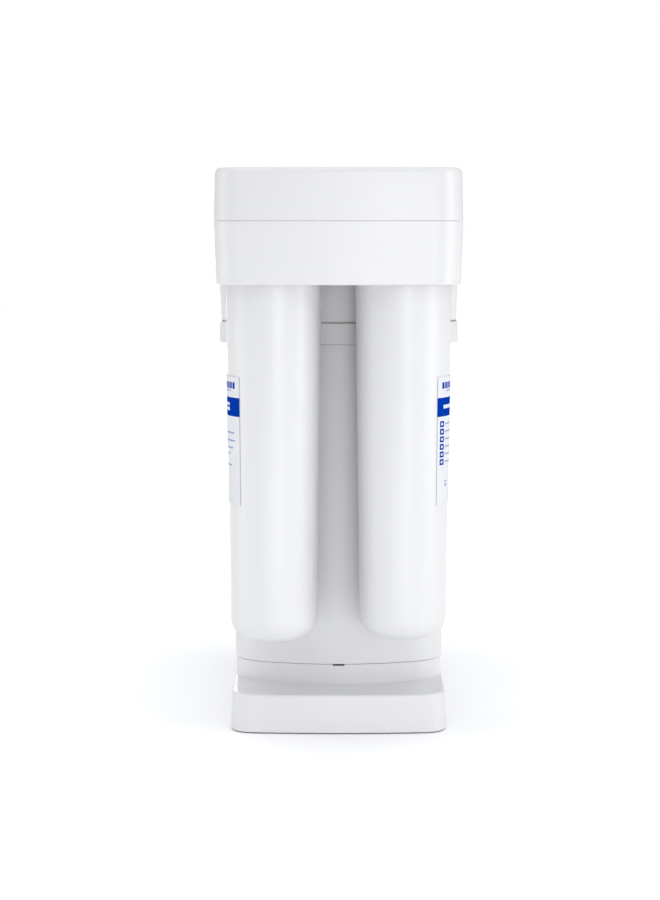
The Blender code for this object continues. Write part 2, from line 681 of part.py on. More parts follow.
def build_tank_cover():
    """The tank's lid: a wide lip that serves as a grip, a web, and a tongue inside the shell."""
    mesh = bmesh.new()
    tongue = TANK_WALL + FIT_GAP
    outer = cover_ring(0, COVER_BOTTOM)
    add_loft(
        mesh,
        [
            circle(VESSEL_HOLE_RADIUS, COVER_BOTTOM, outer),
            shell_ring(tongue + TANK_WALL, COVER_BOTTOM),
            shell_ring(tongue + TANK_WALL, COVER_BOTTOM - COVER_TONGUE),
            shell_ring(tongue, COVER_BOTTOM - COVER_TONGUE),
            shell_ring(tongue, COVER_BOTTOM),
            outer,
            cover_ring(COVER_FLARE, COVER_TOP),
            cover_ring(COVER_FLARE + TANK_WALL, COVER_TOP),
            cover_ring(COVER_FLARE + TANK_WALL, COVER_WEB_TOP),
            circle(VESSEL_HOLE_RADIUS, COVER_WEB_TOP, outer),
        ],
        wrap=True,
    )
    return finish("tank_cover", mesh, "white_gloss")


def build_tank_shell():
    mesh = bmesh.new()
    add_loft(
        mesh,
        [
            shell_ring(0, SHELL_BOTTOM),
            shell_ring(0, SHELL_TOP),
            shell_ring(TANK_WALL, SHELL_TOP),
            shell_ring(TANK_WALL, SHELL_BOTTOM),
        ],
        wrap=True,
    )
    return finish("tank_shell", mesh, "white_gloss")


def build_stand():
    """The foot of the unit: a low tray, longer than the tank, with an upright collar for the shell."""
    mesh = bmesh.new()
    rebate_top = FOOT_THICKNESS + FIT_GAP + PLATE_THICKNESS + FIT_GAP
    edge = [stand_ring(inset, DECK_TOP - drop) for inset, drop in rounded(STAND_EDGE)]
    add_loft(
        mesh,
        [
            stand_ring(STAND_WALL, DECK_TOP - STAND_DECK),
            stand_ring(STAND_WALL, rebate_top),
            stand_ring(PLATE_REBATE, rebate_top),
            stand_ring(PLATE_REBATE, FOOT_RISE),
            stand_ring(0, FOOT_RISE),
        ]
        + edge,
    )
    stand = finish("stand", mesh, "white_gloss")
    tongue = TANK_WALL + FIT_GAP
    low = DECK_TOP - STAND_COLLAR_ROOT
    collar = bmesh.new()
    add_loft(
        collar,
        [
            shell_ring(STAND_COLLAR_SETBACK, low),
            shell_ring(STAND_COLLAR_SETBACK, STAND_SHOULDER),
            shell_ring(tongue, STAND_SHOULDER),
            shell_ring(tongue, STAND_SHOULDER + STAND_TONGUE),
            shell_ring(tongue + TANK_WALL, STAND_SHOULDER + STAND_TONGUE),
            shell_ring(tongue + TANK_WALL, low),
        ],
        wrap=True,
    )
    fuse(stand, collar, "collar")
    notches = bmesh.new()
    for side in (-1, 1):
        middle = side * TANK_LENGTH / 2
        add_box(
            notches,
            (-NOTCH_WIDTH / 2, middle - TANK_WALL, STAND_SHOULDER - NOTCH_HEIGHT),
            (NOTCH_WIDTH / 2, middle + TANK_WALL, STAND_SHOULDER + OVERRUN),
        )
    cut(stand, notches, "notches")
    return stand


def build_stand_plate():
    mesh = bmesh.new()
    low = FOOT_THICKNESS + FIT_GAP
    inset = PLATE_REBATE + FIT_GAP
    add_loft(mesh, [stand_ring(inset, low), stand_ring(inset, low + PLATE_THICKNESS)])
    return finish("stand_plate", mesh, "grey_plastic")


def build_feet():
    for side_x, word_x in ((-1, "left"), (1, "right")):
        for side_y, word_y in ((-1, "front"), (1, "rear")):
            place = (side_x * FOOT_SPACING_X / 2, side_y * FOOT_SPACING_Y / 2, 0)
            profile = [
                (0, 0),
                (FOOT_RADIUS - FOOT_BEVEL, 0),
                (FOOT_RADIUS, FOOT_BEVEL),
                (FOOT_RADIUS, FOOT_THICKNESS),
                (0, FOOT_THICKNESS),
            ]
            turned(f"foot_{word_y}_{word_x}", profile, SMALL_FACETS, "black_rubber", place, closed=False)


def dome(radius, height, base, hole, up):
    """Points of an elliptical dome, from its rim to the edge of the hole on its axis."""
    last = math.acos(hole / radius)
    turns = [last * step / DOME_STEPS for step in range(DOME_STEPS + 1)]
    return [(radius * math.cos(turn), base + up * height * math.sin(turn)) for turn in turns]


def build_vessel():
    """The pressure vessel in two welded halves, in its saddle, with a bladder, a stem and a nut."""
    mesh = bmesh.new()
    inset = 2 * TANK_WALL + 2 * FIT_GAP
    rim = shell_ring(inset, SADDLE_BOTTOM)
    add_loft(
        mesh,
        [
            circle(VESSEL_HOLE_RADIUS, SADDLE_BOTTOM, rim),
            rim,
            shell_ring(inset, SADDLE_TOP),
            circle(VESSEL_HOLE_RADIUS, SADDLE_TOP, rim),
        ],
        wrap=True,
    )
    finish("vessel_saddle", mesh, "grey_plastic")

    inner = VESSEL_RADIUS - VESSEL_WALL
    inner_dome = VESSEL_DOME_HEIGHT - VESSEL_WALL
    lower = (
        list(reversed(dome(VESSEL_RADIUS, VESSEL_DOME_HEIGHT, VESSEL_BELLY_BOTTOM, 0, -1)))
        + [(VESSEL_RADIUS, VESSEL_WELD_HEIGHT - FIT_GAP / 2), (inner, VESSEL_WELD_HEIGHT - FIT_GAP / 2)]
        + dome(inner, inner_dome, VESSEL_BELLY_BOTTOM, 0, -1)
    )
    turned("vessel_lower", lower, VESSEL_FACETS, "natural_plastic", closed=False)

    bag_neck = bore_for(STEM_RADIUS, BLADDER_FACETS)
    bag_neck_outer = bag_neck + BLADDER_WALL
    neck_inner = bore_for(bag_neck_outer, VESSEL_FACETS)
    upper = (
        dome(VESSEL_RADIUS, VESSEL_DOME_HEIGHT, VESSEL_BELLY_TOP, VESSEL_NECK_RADIUS, 1)
        + [(VESSEL_NECK_RADIUS, VESSEL_NECK_TOP), (neck_inner, VESSEL_NECK_TOP)]
        + list(reversed(dome(inner, inner_dome, VESSEL_BELLY_TOP, neck_inner, 1)))
        + [(inner, VESSEL_WELD_HEIGHT + FIT_GAP / 2), (VESSEL_RADIUS, VESSEL_WELD_HEIGHT + FIT_GAP / 2)]
    )
    turned("vessel_upper", upper, VESSEL_FACETS, "natural_plastic")

    bag = inner - BLADDER_INSET
    bag_dome = inner_dome - BLADDER_INSET
    bag_inner = bag - BLADDER_WALL
    bladder = (
        list(reversed(dome(bag, bag_dome, VESSEL_BELLY_BOTTOM, 0, -1)))
        + dome(bag, bag_dome, VESSEL_BELLY_TOP, bag_neck_outer, 1)
        + [
            (bag_neck_outer, BLADDER_FLANGE_BOTTOM),
            (VESSEL_NECK_RADIUS, BLADDER_FLANGE_BOTTOM),
            (VESSEL_NECK_RADIUS, BLADDER_FLANGE_TOP),
            (bag_neck, BLADDER_FLANGE_TOP),
        ]
        + list(reversed(dome(bag_inner, bag_dome - BLADDER_WALL, VESSEL_BELLY_TOP, bag_neck, 1)))
        + dome(bag_inner, bag_dome - BLADDER_WALL, VESSEL_BELLY_BOTTOM, 0, -1)
    )
    turned("vessel_bladder", bladder, BLADDER_FACETS, "clear_film", closed=False)

    stem_bottom = BLADDER_FLANGE_BOTTOM - STEM_DIP
    stem = [
        (STEM_BORE_RADIUS, stem_bottom),
        (STEM_RADIUS, stem_bottom),
        (STEM_RADIUS, STEM_FLANGE_BOTTOM),
        (VESSEL_NECK_RADIUS, STEM_FLANGE_BOTTOM),
        (VESSEL_NECK_RADIUS, STEM_FLANGE_TOP),
        (STEM_RADIUS, STEM_FLANGE_TOP),
        (STEM_RADIUS, STEM_TOP),
        (STEM_BORE_RADIUS, STEM_TOP),
    ]
    turned("tank_stem", stem, SMALL_FACETS, "white_satin")

    grip = bore_for(VESSEL_NECK_RADIUS, SMALL_FACETS)
    nut = [
        (BOSS_BORE, NUT_CEILING),
        (grip, NUT_CEILING),
        (grip, NUT_CEILING - NUT_SKIRT),
        (grip + NUT_WALL, NUT_CEILING - NUT_SKIRT),
        (grip + NUT_WALL, NUT_TOP),
        (BOSS_BORE, NUT_TOP),
    ]
    turned("stem_nut", nut, SMALL_FACETS, "blue_plastic")


def build_manifold():
    """The channel plate over the sockets, with collars, channels, pillars and the tank's boss."""
    mesh = bmesh.new()
    add_loft(
        mesh,
        [
            outline(MANIFOLD_WIDTH, MANIFOLD_LENGTH, MANIFOLD_CORNER, 0, 0, MANIFOLD_BOTTOM),
            outline(MANIFOLD_WIDTH, MANIFOLD_LENGTH, MANIFOLD_CORNER, 0, 0, MANIFOLD_TOP),
        ],
    )
    manifold = finish("manifold", mesh, "white_satin")

    socket_bore = bore_for(SOCKET_BOSS, SOCKET_FACETS)
    valve_bore = bore_for(VALVE_RADIUS, SOCKET_FACETS)
    insert_bore = bore_for(INSERT_RADIUS, SOCKET_FACETS)
    wells = [(x, y, socket_bore) for _, x, y, _ in module_places()]
    wells.append((0, 0, valve_bore))
    wells += [(0, side * INSERT_SPACING / 2, insert_bore) for side in (-1, 1)]
    raised = bmesh.new()
    for x, y, bore in wells:
        outer = bore + MANIFOLD_COLLAR_WALL
        add_cylinder(raised, outer, (x, y, MANIFOLD_TOP - BITE), (x, y, COLLAR_TOP), SOCKET_FACETS)
    sunk = MANIFOLD_BOTTOM + BITE
    for x, y in pillar_places():
        add_cylinder(raised, PILLAR_RADIUS, (x, y, FLOOR_TOP + FIT_GAP), (x, y, sunk), SMALL_FACETS)
    add_cylinder(raised, BOSS_RADIUS, (0, 0, BOSS_BOTTOM), (0, 0, sunk), SMALL_FACETS)
    fuse(manifold, raised, "collars")

    level = MANIFOLD_TOP + CHANNEL_RISE
    half_x = MODULE_SPACING_X / 2
    half_y = MODULE_SPACING_Y / 2
    ends = (
        ((-half_x, -half_y), (half_x, -half_y)),
        ((-half_x, half_y), (half_x, half_y)),
    )
    sides = (((-half_x, -half_y), (-half_x, half_y)), ((half_x, -half_y), (half_x, half_y)))
    middle = (((0, -half_y), (0, half_y)),)
    for label, runs in (("end_channels", ends), ("side_channels", sides), ("middle_channel", middle)):
        channels = bmesh.new()
        for (x0, y0), (x1, y1) in runs:
            add_cylinder(channels, CHANNEL_RADIUS, (x0, y0, level), (x1, y1, level), SMALL_FACETS)
        fuse(manifold, channels, label)

    holes = bmesh.new()
    for x, y, bore in wells:
        floor = MANIFOLD_BOTTOM - OVERRUN if bore == socket_bore else MANIFOLD_TOP
        add_cylinder(holes, bore, (x, y, floor), (x, y, COLLAR_TOP + OVERRUN), SOCKET_FACETS)
    for x, y in pillar_places():
        low = FLOOR_TOP - OVERRUN
        add_cylinder(holes, SCREW_HOLE, (x, y, low), (x, y, MANIFOLD_TOP + OVERRUN), SMALL_FACETS)
    add_cylinder(holes, BOSS_BORE, (0, 0, BOSS_BOTTOM - OVERRUN), (0, 0, sunk), SMALL_FACETS)
    cut(manifold, holes, "wells")

    for index, (x, y) in enumerate(pillar_places(), start=1):
        head_bottom = MANIFOLD_TOP + FIT_GAP
        head_top = head_bottom + SCREW_HEAD_HEIGHT
        profile = [
            (0, FLOOR_UNDERSIDE),
            (SCREW_RADIUS, FLOOR_UNDERSIDE),
            (SCREW_RADIUS, head_bottom),
            (SCREW_HEAD_RADIUS, head_bottom),
            (SCREW_HEAD_RADIUS, head_top - SCREW_CROWN),
            (SCREW_HEAD_RADIUS - SCREW_CROWN, head_top),
            (0, head_top),
        ]
        turned(f"manifold_screw_{index}", profile, SMALL_FACETS, "steel", (x, y, 0), closed=False)


def build_socket(name, x, y):
    """The bayonet socket that a module turns into: a ring with three ledges and a bored boss."""
    profile = [
        (SOCKET_BORE, SOCKET_CEILING),
        (SOCKET_INNER, SOCKET_CEILING),
        (SOCKET_INNER, SOCKET_BOTTOM),
        (SOCKET_OUTER, SOCKET_BOTTOM),
        (SOCKET_OUTER, SOCKET_TOP),
        (SOCKET_BOSS, SOCKET_TOP),
        (SOCKET_BOSS, SOCKET_BOSS_TOP),
        (0, SOCKET_BOSS_TOP),
        (0, SOCKET_BORE_TOP),
        (SOCKET_BORE, SOCKET_BORE_TOP),
        (SOCKET_BORE, SOCKET_CEILING),
    ]
    socket = turned(name, profile, SOCKET_FACETS, "white_satin", (x, y, 0), closed=False)
    ledges = bmesh.new()
    for index in range(LUG_COUNT):
        add_sector(
            ledges,
            bore_for(SHOULDER_RADIUS, round(SECTOR_STEPS * FULL_TURN / LEDGE_ARC)),
            SOCKET_INNER + BITE,
            SOCKET_BOTTOM,
            LEDGE_TOP,
            FULL_TURN * index / LUG_COUNT,
            LEDGE_ARC,
        )
    fuse(socket, ledges, "ledges")


def module_radius(z, foot):
    """The canister's radius at a height: it tapers from its top to the start of its rounded foot."""
    return MODULE_RADIUS - MODULE_DRAFT * (MODULE_TOP - z) / (MODULE_TOP - foot - MODULE_FOOT_RISE)


def bowl(sweep, bottom, rise, steps):
    """Profile points of a rounded foot: a flat middle, then a quarter ellipse up to the wall."""
    points = [(0, bottom)]
    for step in range(steps + 1):
        turn = QUARTER_TURN * step / steps
        radius = MODULE_FLOOR_RADIUS + sweep * math.sin(turn)
        points.append((radius, bottom + rise * (1 - math.cos(turn))))
    return points


def build_module(name, x, y, foot):
    """One filter module: canister, cap with bayonet lugs, lip seal, filter element and label."""
    place = (x, y, 0)
    floor = foot + MODULE_WALL
    sweep = MODULE_RADIUS - MODULE_DRAFT - MODULE_FLOOR_RADIUS
    outside = bowl(sweep, foot, MODULE_FOOT_RISE, FILLET_STEPS + 1)
    inside = bowl(sweep - MODULE_WALL, floor, MODULE_FOOT_RISE - MODULE_WALL, INSIDE_STEPS)
    mouth = MODULE_RADIUS - MODULE_WALL
    profile = outside + [(MODULE_RADIUS, MODULE_TOP), (mouth, MODULE_TOP)] + list(reversed(inside))
    turned(f"{name}_canister", profile, MODULE_FACETS, "white_gloss", place, closed=False)

    plug_bottom = FLANGE_BOTTOM - CAP_PLUG
    plug = module_radius(plug_bottom, foot) - MODULE_WALL - FIT_GAP
    groove = CAP_NECK_RADIUS - SEAL_GROOVE_DEPTH
    cap = turned(
        f"{name}_cap",
        [
            (CAP_BORE_RADIUS, plug_bottom),
            (plug, plug_bottom),
            (plug, FLANGE_BOTTOM),
            (MODULE_RADIUS, FLANGE_BOTTOM),
            (MODULE_RADIUS, FLANGE_TOP),
            (SHOULDER_RADIUS, FLANGE_TOP),
            (SHOULDER_RADIUS, SHOULDER_TOP),
            (CAP_NECK_RADIUS, SHOULDER_TOP),
            (CAP_NECK_RADIUS, GROOVE_BOTTOM),
            (groove, GROOVE_BOTTOM),
            (groove, GROOVE_TOP),
            (CAP_NECK_RADIUS, GROOVE_TOP),
            (CAP_NECK_RADIUS, CAP_TOP),
            (CAP_BORE_RADIUS, CAP_TOP),
        ],
        SOCKET_FACETS,
        "white_satin",
        place,
    )
    lugs = bmesh.new()
    for index in range(LUG_COUNT):
        add_sector(
            lugs,
            SHOULDER_RADIUS - BITE,
            LUG_RADIUS,
            LUG_BOTTOM,
            LUG_TOP,
            FULL_TURN * index / LUG_COUNT,
            LUG_ARC,
        )
    fuse(cap, lugs, "lugs")

    seal_low = GROOVE_BOTTOM + FIT_GAP
    seal_high = GROOVE_TOP - FIT_GAP
    crest, waist = CAP_NECK_RADIUS, CAP_NECK_RADIUS - SEAL_WAIST
    turned(
        f"{name}_seal",
        [
            (groove + FIT_GAP, seal_low),
            (waist, seal_low),
            (crest, (seal_low + seal_high) / 2),
            (waist, seal_high),
            (groove + FIT_GAP, seal_high),
        ],
        SOCKET_FACETS,
        "black_rubber",
        place,
    )

    low = floor + FIT_GAP
    high = plug_bottom - FIT_GAP
    turned(
        f"{name}_element",
        [
            (CAP_BORE_RADIUS, low),
            (ELEMENT_SPIGOT_RADIUS, low),
            (ELEMENT_SPIGOT_RADIUS, low + ELEMENT_SPIGOT_HEIGHT),
            (ELEMENT_RADIUS, low + ELEMENT_SPIGOT_HEIGHT),
            (ELEMENT_RADIUS, high - ELEMENT_NECK_HEIGHT),
            (ELEMENT_SPIGOT_RADIUS, high - ELEMENT_NECK_HEIGHT),
            (ELEMENT_SPIGOT_RADIUS, high),
            (CAP_BORE_RADIUS, high),
        ],
        SMALL_FACETS,
        "carbon_block",
        place,
    )
    build_label(name, x, y, foot)


def build_label(name, x, y, foot):
    """A thin printed film round the canister's outer side, facet for facet with it."""
    top = MODULE_TOP - LABEL_TOP_DROP
    facet = FULL_TURN / MODULE_FACETS
    front = math.copysign(QUARTER_TURN, y)
    way = math.copysign(1, x) * math.copysign(1, -y)
    columns = []
    for step in range(LABEL_SPAN_FACETS + 1):
        turn = front + way * facet * (LABEL_START_FACETS + step)
        side = Vector((math.cos(turn), math.sin(turn), 0))
        column = []
        for z, lift in (
            (top - LABEL_HEIGHT, FIT_GAP),
            (top - LABEL_HEIGHT, FIT_GAP + LABEL_THICKNESS),
            (top, FIT_GAP + LABEL_THICKNESS),
            (top, FIT_GAP),
        ):
            column.append(side * (module_radius(z, foot) + lift) + Vector((0, 0, z)))
        columns.append(column)
    mesh = bmesh.new()
    add_loft(mesh, columns)
    return finish(f"{name}_label", mesh, "label_film", (x, y, 0))


def build_valve():
    """The hydraulic shut-off valve on the manifold: body, diaphragm, cap, plunger and spring."""
    body_inner = VALVE_RADIUS - VALVE_BODY_WALL
    bore = bore_for(PLUNGER_STEM_RADIUS, SOCKET_FACETS)
    turned(
        "valve_body",
        [
            (bore, VALVE_BOTTOM),
            (VALVE_RADIUS, VALVE_BOTTOM),
            (VALVE_RADIUS, VALVE_SPLIT),
            (body_inner, VALVE_SPLIT),
            (body_inner, VALVE_FLOOR),
            (bore, VALVE_FLOOR),
        ],
        SOCKET_FACETS,
        "grey_plastic",
    )
    diaphragm_inner = bore_for(SPRING_RADIUS + SPRING_WIRE, SOCKET_FACETS)
    turned(
        "valve_diaphragm",
        [
            (diaphragm_inner, DIAPHRAGM_BOTTOM),
            (VALVE_RADIUS - DIAPHRAGM_INSET, DIAPHRAGM_BOTTOM),
            (VALVE_RADIUS - DIAPHRAGM_INSET, DIAPHRAGM_TOP),
            (diaphragm_inner, DIAPHRAGM_TOP),
        ],
        SOCKET_FACETS,
        "black_rubber",
    )
    cap_inner = VALVE_RADIUS - VALVE_CAP_WALL
    turned(
        "valve_cap",
        [
            (cap_inner, VALVE_CAP_BOTTOM),
            (VALVE_RADIUS, VALVE_CAP_BOTTOM),
            (VALVE_RADIUS, VALVE_TOP - VALVE_CAP_BEVEL),
            (VALVE_RADIUS - VALVE_CAP_BEVEL, VALVE_TOP),
            (0, VALVE_TOP),
            (0, VALVE_CAP_CEILING),
            (cap_inner, VALVE_CAP_CEILING),
            (cap_inner, VALVE_CAP_BOTTOM),
        ],
        SOCKET_FACETS,
        "blue_plastic",
        closed=False,
    )
    turned(
        "valve_plunger",
        [
            (0, VALVE_BOTTOM),
            (PLUNGER_STEM_RADIUS, VALVE_BOTTOM),
            (PLUNGER_STEM_RADIUS, PLUNGER_SEAT),
            (PLUNGER_HEAD_RADIUS, PLUNGER_SEAT),
            (PLUNGER_HEAD_RADIUS, PLUNGER_SHELF),
            (PLUNGER_SPIGOT_RADIUS, PLUNGER_SHELF),
            (PLUNGER_SPIGOT_RADIUS, PLUNGER_SHELF + PLUNGER_SPIGOT_HEIGHT),
            (0, PLUNGER_SHELF + PLUNGER_SPIGOT_HEIGHT),
        ],
        SMALL_FACETS,
        "white_satin",
        closed=False,
    )
    build_spring()


def build_spring():
    """A coil from the plunger's shelf to the cap's ceiling."""
    low = PLUNGER_SHELF + FIT_GAP + SPRING_WIRE
    high = VALVE_CAP_CEILING - FIT_GAP - SPRING_WIRE
    count = SPRING_TURNS * SPRING_POINTS_PER_TURN
    points = []
    for index in range(count + 1):
        turn = FULL_TURN * index / SPRING_POINTS_PER_TURN
        height = low + (high - low) * index / count
        points.append((SPRING_RADIUS * math.cos(turn), SPRING_RADIUS * math.sin(turn), height))
    tube("valve_spring", points, SPRING_WIRE, "steel", 0)


def tube(name, points, radius, slot, bevel_resolution):
    """A round tube along a line of points, with closed ends."""
    curve = bpy.data.curves.new(name, "CURVE")
    curve.dimensions = "3D"
    spline = curve.splines.new("POLY")
    spline.points.add(len(points) - 1)
    for point, place in zip(spline.points, points):
        point.co = (*place, 1)
    curve.bevel_depth = radius
    curve.bevel_resolution = bevel_resolution
    curve.use_fill_caps = True
    curve.materials.append(material(slot))
    obj = bpy.data.objects.new(name, curve)
    bpy.context.scene.collection.objects.link(obj)
    return obj


def build_inserts():
    """The check valve and the flow restrictor, which stand in wells of the manifold."""
    for name, y in (("check_valve", -INSERT_SPACING / 2), ("flow_restrictor", INSERT_SPACING / 2)):
        top = VALVE_BOTTOM + INSERT_HEIGHT
        profile = [
            (0, VALVE_BOTTOM),
            (INSERT_RADIUS, VALVE_BOTTOM),
            (INSERT_RADIUS, top - INSERT_NOSE),
            (INSERT_RADIUS - INSERT_NOSE, top),
            (0, top),
        ]
        turned(name, profile, SMALL_FACETS, "blue_plastic", (0, y, 0), closed=False)


def build_ports():
    """The port block behind the neck's window, its three push-in collets and the link tubes."""
    top = FLOOR_UNDERSIDE - FIT_GAP
    half_y = PORT_PLATE_HALF
    mesh = bmesh.new()
    add_box(
        mesh,
        (PORT_PLATE_FACE - PORT_PLATE, -half_y, PORT_HEIGHT - PORT_RADIUS - PORT_PLATE_MARGIN),
        (PORT_PLATE_FACE, half_y, top),
    )
    block = finish("port_block", mesh, "white_satin")
    shelf = bmesh.new()
    shelf_front = PORT_PLATE_FACE - PORT_PLATE / 2
    add_box(shelf, (PORT_BACK, -half_y, top - PORT_PLATE), (shelf_front, half_y, top))
    fuse(block, shelf, "shelf")
    bodies, bores, pockets = bmesh.new(), bmesh.new(), bmesh.new()
    pocket_start = COLLET_FLANGE_BACK - COLLET_LENGTH - COLLET_TRAVEL - FIT_GAP
    pocket = bore_for(COLLET_RADIUS, SMALL_FACETS)
    for _, y in port_places():
        back = (PORT_BACK, y, PORT_HEIGHT)
        face = (PORT_FACE, y, PORT_HEIGHT)
        beyond = (PORT_FACE + OVERRUN, y, PORT_HEIGHT)
        add_cylinder(bodies, PORT_RADIUS, back, face, PORT_FACETS)
        add_cylinder(bores, PORT_TUBE_RADIUS, (PORT_BACK - OVERRUN, y, PORT_HEIGHT), beyond, SMALL_FACETS)
        add_cylinder(pockets, pocket, (pocket_start, y, PORT_HEIGHT), beyond, SMALL_FACETS)
    fuse(block, bodies, "bodies")
    cut(block, bores, "bores")
    cut(block, pockets, "pockets")

    for (name, y), slot in zip(port_places(), ("grey_plastic", "black_rubber", "blue_plastic")):
        profile = [
            (COLLET_BORE_RADIUS, COLLET_FLANGE_BACK - COLLET_LENGTH),
            (COLLET_RADIUS, COLLET_FLANGE_BACK - COLLET_LENGTH),
            (COLLET_RADIUS, COLLET_FLANGE_BACK),
            (COLLET_FLANGE_RADIUS, COLLET_FLANGE_BACK),
            (COLLET_FLANGE_RADIUS, COLLET_FACE),
            (COLLET_BORE_RADIUS, COLLET_FACE),
        ]
        turned(f"collet_{name}", profile, SMALL_FACETS, slot, (0, y, PORT_HEIGHT), along_x=True)
        build_link_tube(name, y)


def build_link_tube(name, y):
    """From the port's back, inwards and up through the floor to the manifold."""
    start = PORT_BACK - FIT_GAP
    points = [(start, y, PORT_HEIGHT)]
    for step in range(LINK_BEND_STEPS + 1):
        turn = QUARTER_TURN * step / LINK_BEND_STEPS
        points.append(
            (
                LINK_TUBE_X + LINK_TUBE_BEND * (1 - math.sin(turn)),
                y,
                PORT_HEIGHT + LINK_TUBE_BEND * (1 - math.cos(turn)),
            )
        )
    points.append((LINK_TUBE_X, y, MANIFOLD_BOTTOM - FIT_GAP))
    tube(f"link_tube_{name}", points, LINK_TUBE_RADIUS, "natural_plastic", 1)


def main():
    clear_scene()
    build_stand()
    build_stand_plate()
    build_feet()
    build_tank_shell()
    build_tank_cover()
    build_neck()
    build_vessel()
    build_head_case()
    build_lid()
    build_manifold()
    build_valve()
    build_inserts()
    build_ports()
    for name, x, y, foot in module_places():
        build_socket(name.replace("module", "socket"), x, y)
        build_module(name, x, y, foot)


main()
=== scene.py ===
import json
import math

import bmesh
import bpy
import numpy as np
from bpy.props import FloatProperty, FloatVectorProperty, IntProperty, PointerProperty
from bpy.types import Operator, Panel, PropertyGroup
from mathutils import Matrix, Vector


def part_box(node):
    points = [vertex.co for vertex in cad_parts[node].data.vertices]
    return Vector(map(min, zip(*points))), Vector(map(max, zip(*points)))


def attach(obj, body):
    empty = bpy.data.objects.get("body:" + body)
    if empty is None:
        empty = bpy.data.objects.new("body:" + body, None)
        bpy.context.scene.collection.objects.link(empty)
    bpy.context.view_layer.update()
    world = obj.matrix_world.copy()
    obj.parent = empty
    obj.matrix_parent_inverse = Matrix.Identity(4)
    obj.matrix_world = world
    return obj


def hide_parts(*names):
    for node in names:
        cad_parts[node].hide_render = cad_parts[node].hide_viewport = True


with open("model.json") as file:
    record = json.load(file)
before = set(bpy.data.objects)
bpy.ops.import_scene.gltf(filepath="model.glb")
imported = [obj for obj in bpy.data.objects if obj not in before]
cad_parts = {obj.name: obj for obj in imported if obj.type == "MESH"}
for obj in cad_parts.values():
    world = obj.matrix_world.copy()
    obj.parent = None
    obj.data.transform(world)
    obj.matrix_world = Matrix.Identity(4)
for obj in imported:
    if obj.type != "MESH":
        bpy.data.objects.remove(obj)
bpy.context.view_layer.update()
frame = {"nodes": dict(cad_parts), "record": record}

bl_info = {
    "name": "Under-sink water filter",
    "version": (1, 0, 0),
    "blender": (4, 5, 0),
    "location": "3D View > Sidebar > Water filter",
    "description": "Dresses the filter's packed model in fine mouldings, finishes and studio light",
    "category": "Object",
}

MM = 0.001
FULL_TURN = 2 * math.pi
QUARTER_TURN = math.pi / 2
SHARP_ANGLE = math.radians(30)

# How finely the surfaces are sampled
SIDE_POINTS = 20
CORNER_POINTS = 14
END_POINTS = 12
ARC_STEPS = 5
CLOSING_STEPS = 5
ROUND_FACETS = 144
SMALL_FACETS = 64
FLUTE_FACETS = 8  # facets to each flute or rib
BOWL_STEPS = 22
INNER_BOWL_STEPS = 12
LABEL_STEPS = 61
LEDGE_STEPS = 24
DECK_SIZES = np.linspace(0.95, 0.65, 7)  # the shrinking rings that carry the deck's rise
ROOM_SHARE = 0.48  # the most of a side that one rounded corner may use
FLAT_TURN = 0.01  # a meridian that turns less than this keeps its corner
WELD = 1e-7

# Small fits and edges that many mouldings share
FIT = 0.3 * MM
FINE = 0.3 * MM  # radius of a fine edge
SOFT = 0.6 * MM  # radius of a soft edge
INSIDE_REACH = 6.0 * MM  # how far a flat runs in from a wall before it is closed to its middle
PASS = 3.0 * MM  # how far a cutter passes what it cuts
SINK = 1.5 * MM  # how far one joined shape runs into another

NODE_BODY = {node: body for body, nodes in frame["record"]["behaviour"]["bodies"].items() for node in nodes}
NODE_SLOT = {row["node"]: row["material_slot"] for row in frame["record"]["subparts"]}
MODULES, SOCKETS, SCREWS = (
    [f"{kind}_{index}" for index in (1, 2, 3, 4)] for kind in ("module", "socket", "manifold_screw")
)
FEET = [f"foot_{end}_{side}" for end in ("front", "rear") for side in ("left", "right")]
PORTS = ("inlet", "drain", "tap")
X, Y, Z = range(3)


def low(node):
    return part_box(node)[0]


def high(node):
    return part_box(node)[1]


def heights(node):
    return low(node).z, high(node).z


def centre(node):
    return (low(node) + high(node)) / 2


def spot(node):
    """The point of the floor under the middle of a node."""
    middle = centre(node)
    return Vector((middle.x, middle.y, 0))


def half_size(node, axis=X):
    return (high(node)[axis] - low(node)[axis]) / 2


def length(label, note, millimetres):
    """A size that a user may change, given here in millimetres."""
    return FloatProperty(name=label, description=note, default=millimetres * MM, unit="LENGTH", precision=5)


def degrees(label, note, value):
    return FloatProperty(name=label, description=note, default=math.radians(value), subtype="ANGLE")


def number(label, note, value):
    return FloatProperty(name=label, description=note, default=value)


def colour(label, note, red, green, blue):
    value = (red, green, blue)
    return FloatVectorProperty(name=label, description=note, default=value, subtype="COLOR", min=0, max=1)


# Sizes and colours


class WATERFILTER_PG_head(PropertyGroup):
    """The pillow-shaped head: one outline for the lid and the case under it."""

    width: length("Width", "Across the head at its parting line", 190.0)
    long: length("Length", "From end to end at the parting line", 371.0)
    corner: length("Corner", "Radius of the upright corners", 19.0)
    side_bow: length("Side bow", "How far the long sides swell outwards", 6.0)
    end_bow: length("End bow", "How far the ends swell outwards", 5.5)
    wall: length("Wall", "Thickness of the walls", 2.5)
    seam: length("Seam", "Parting line between the lid and the case", 0.2)
    seam_edge: length("Seam edge", "Radius along both sides of the parting line", 0.15)
    lid_draft: length("Lid draft", "How much the lid narrows up to its top", 0.8)
    lid_edge: length("Lid edge", "Radius round the top of the lid", 5.0)
    tongue: length("Tongue", "Drop of the lid's tongue into the case", 4.0)
    case_draft: length("Case draft", "How much the case narrows down to its foot", 1.6)
    case_edge: length("Case edge", "Radius round the foot of the case", 1.0)
    floor: length("Floor", "Thickness of the case's floor", 2.5)


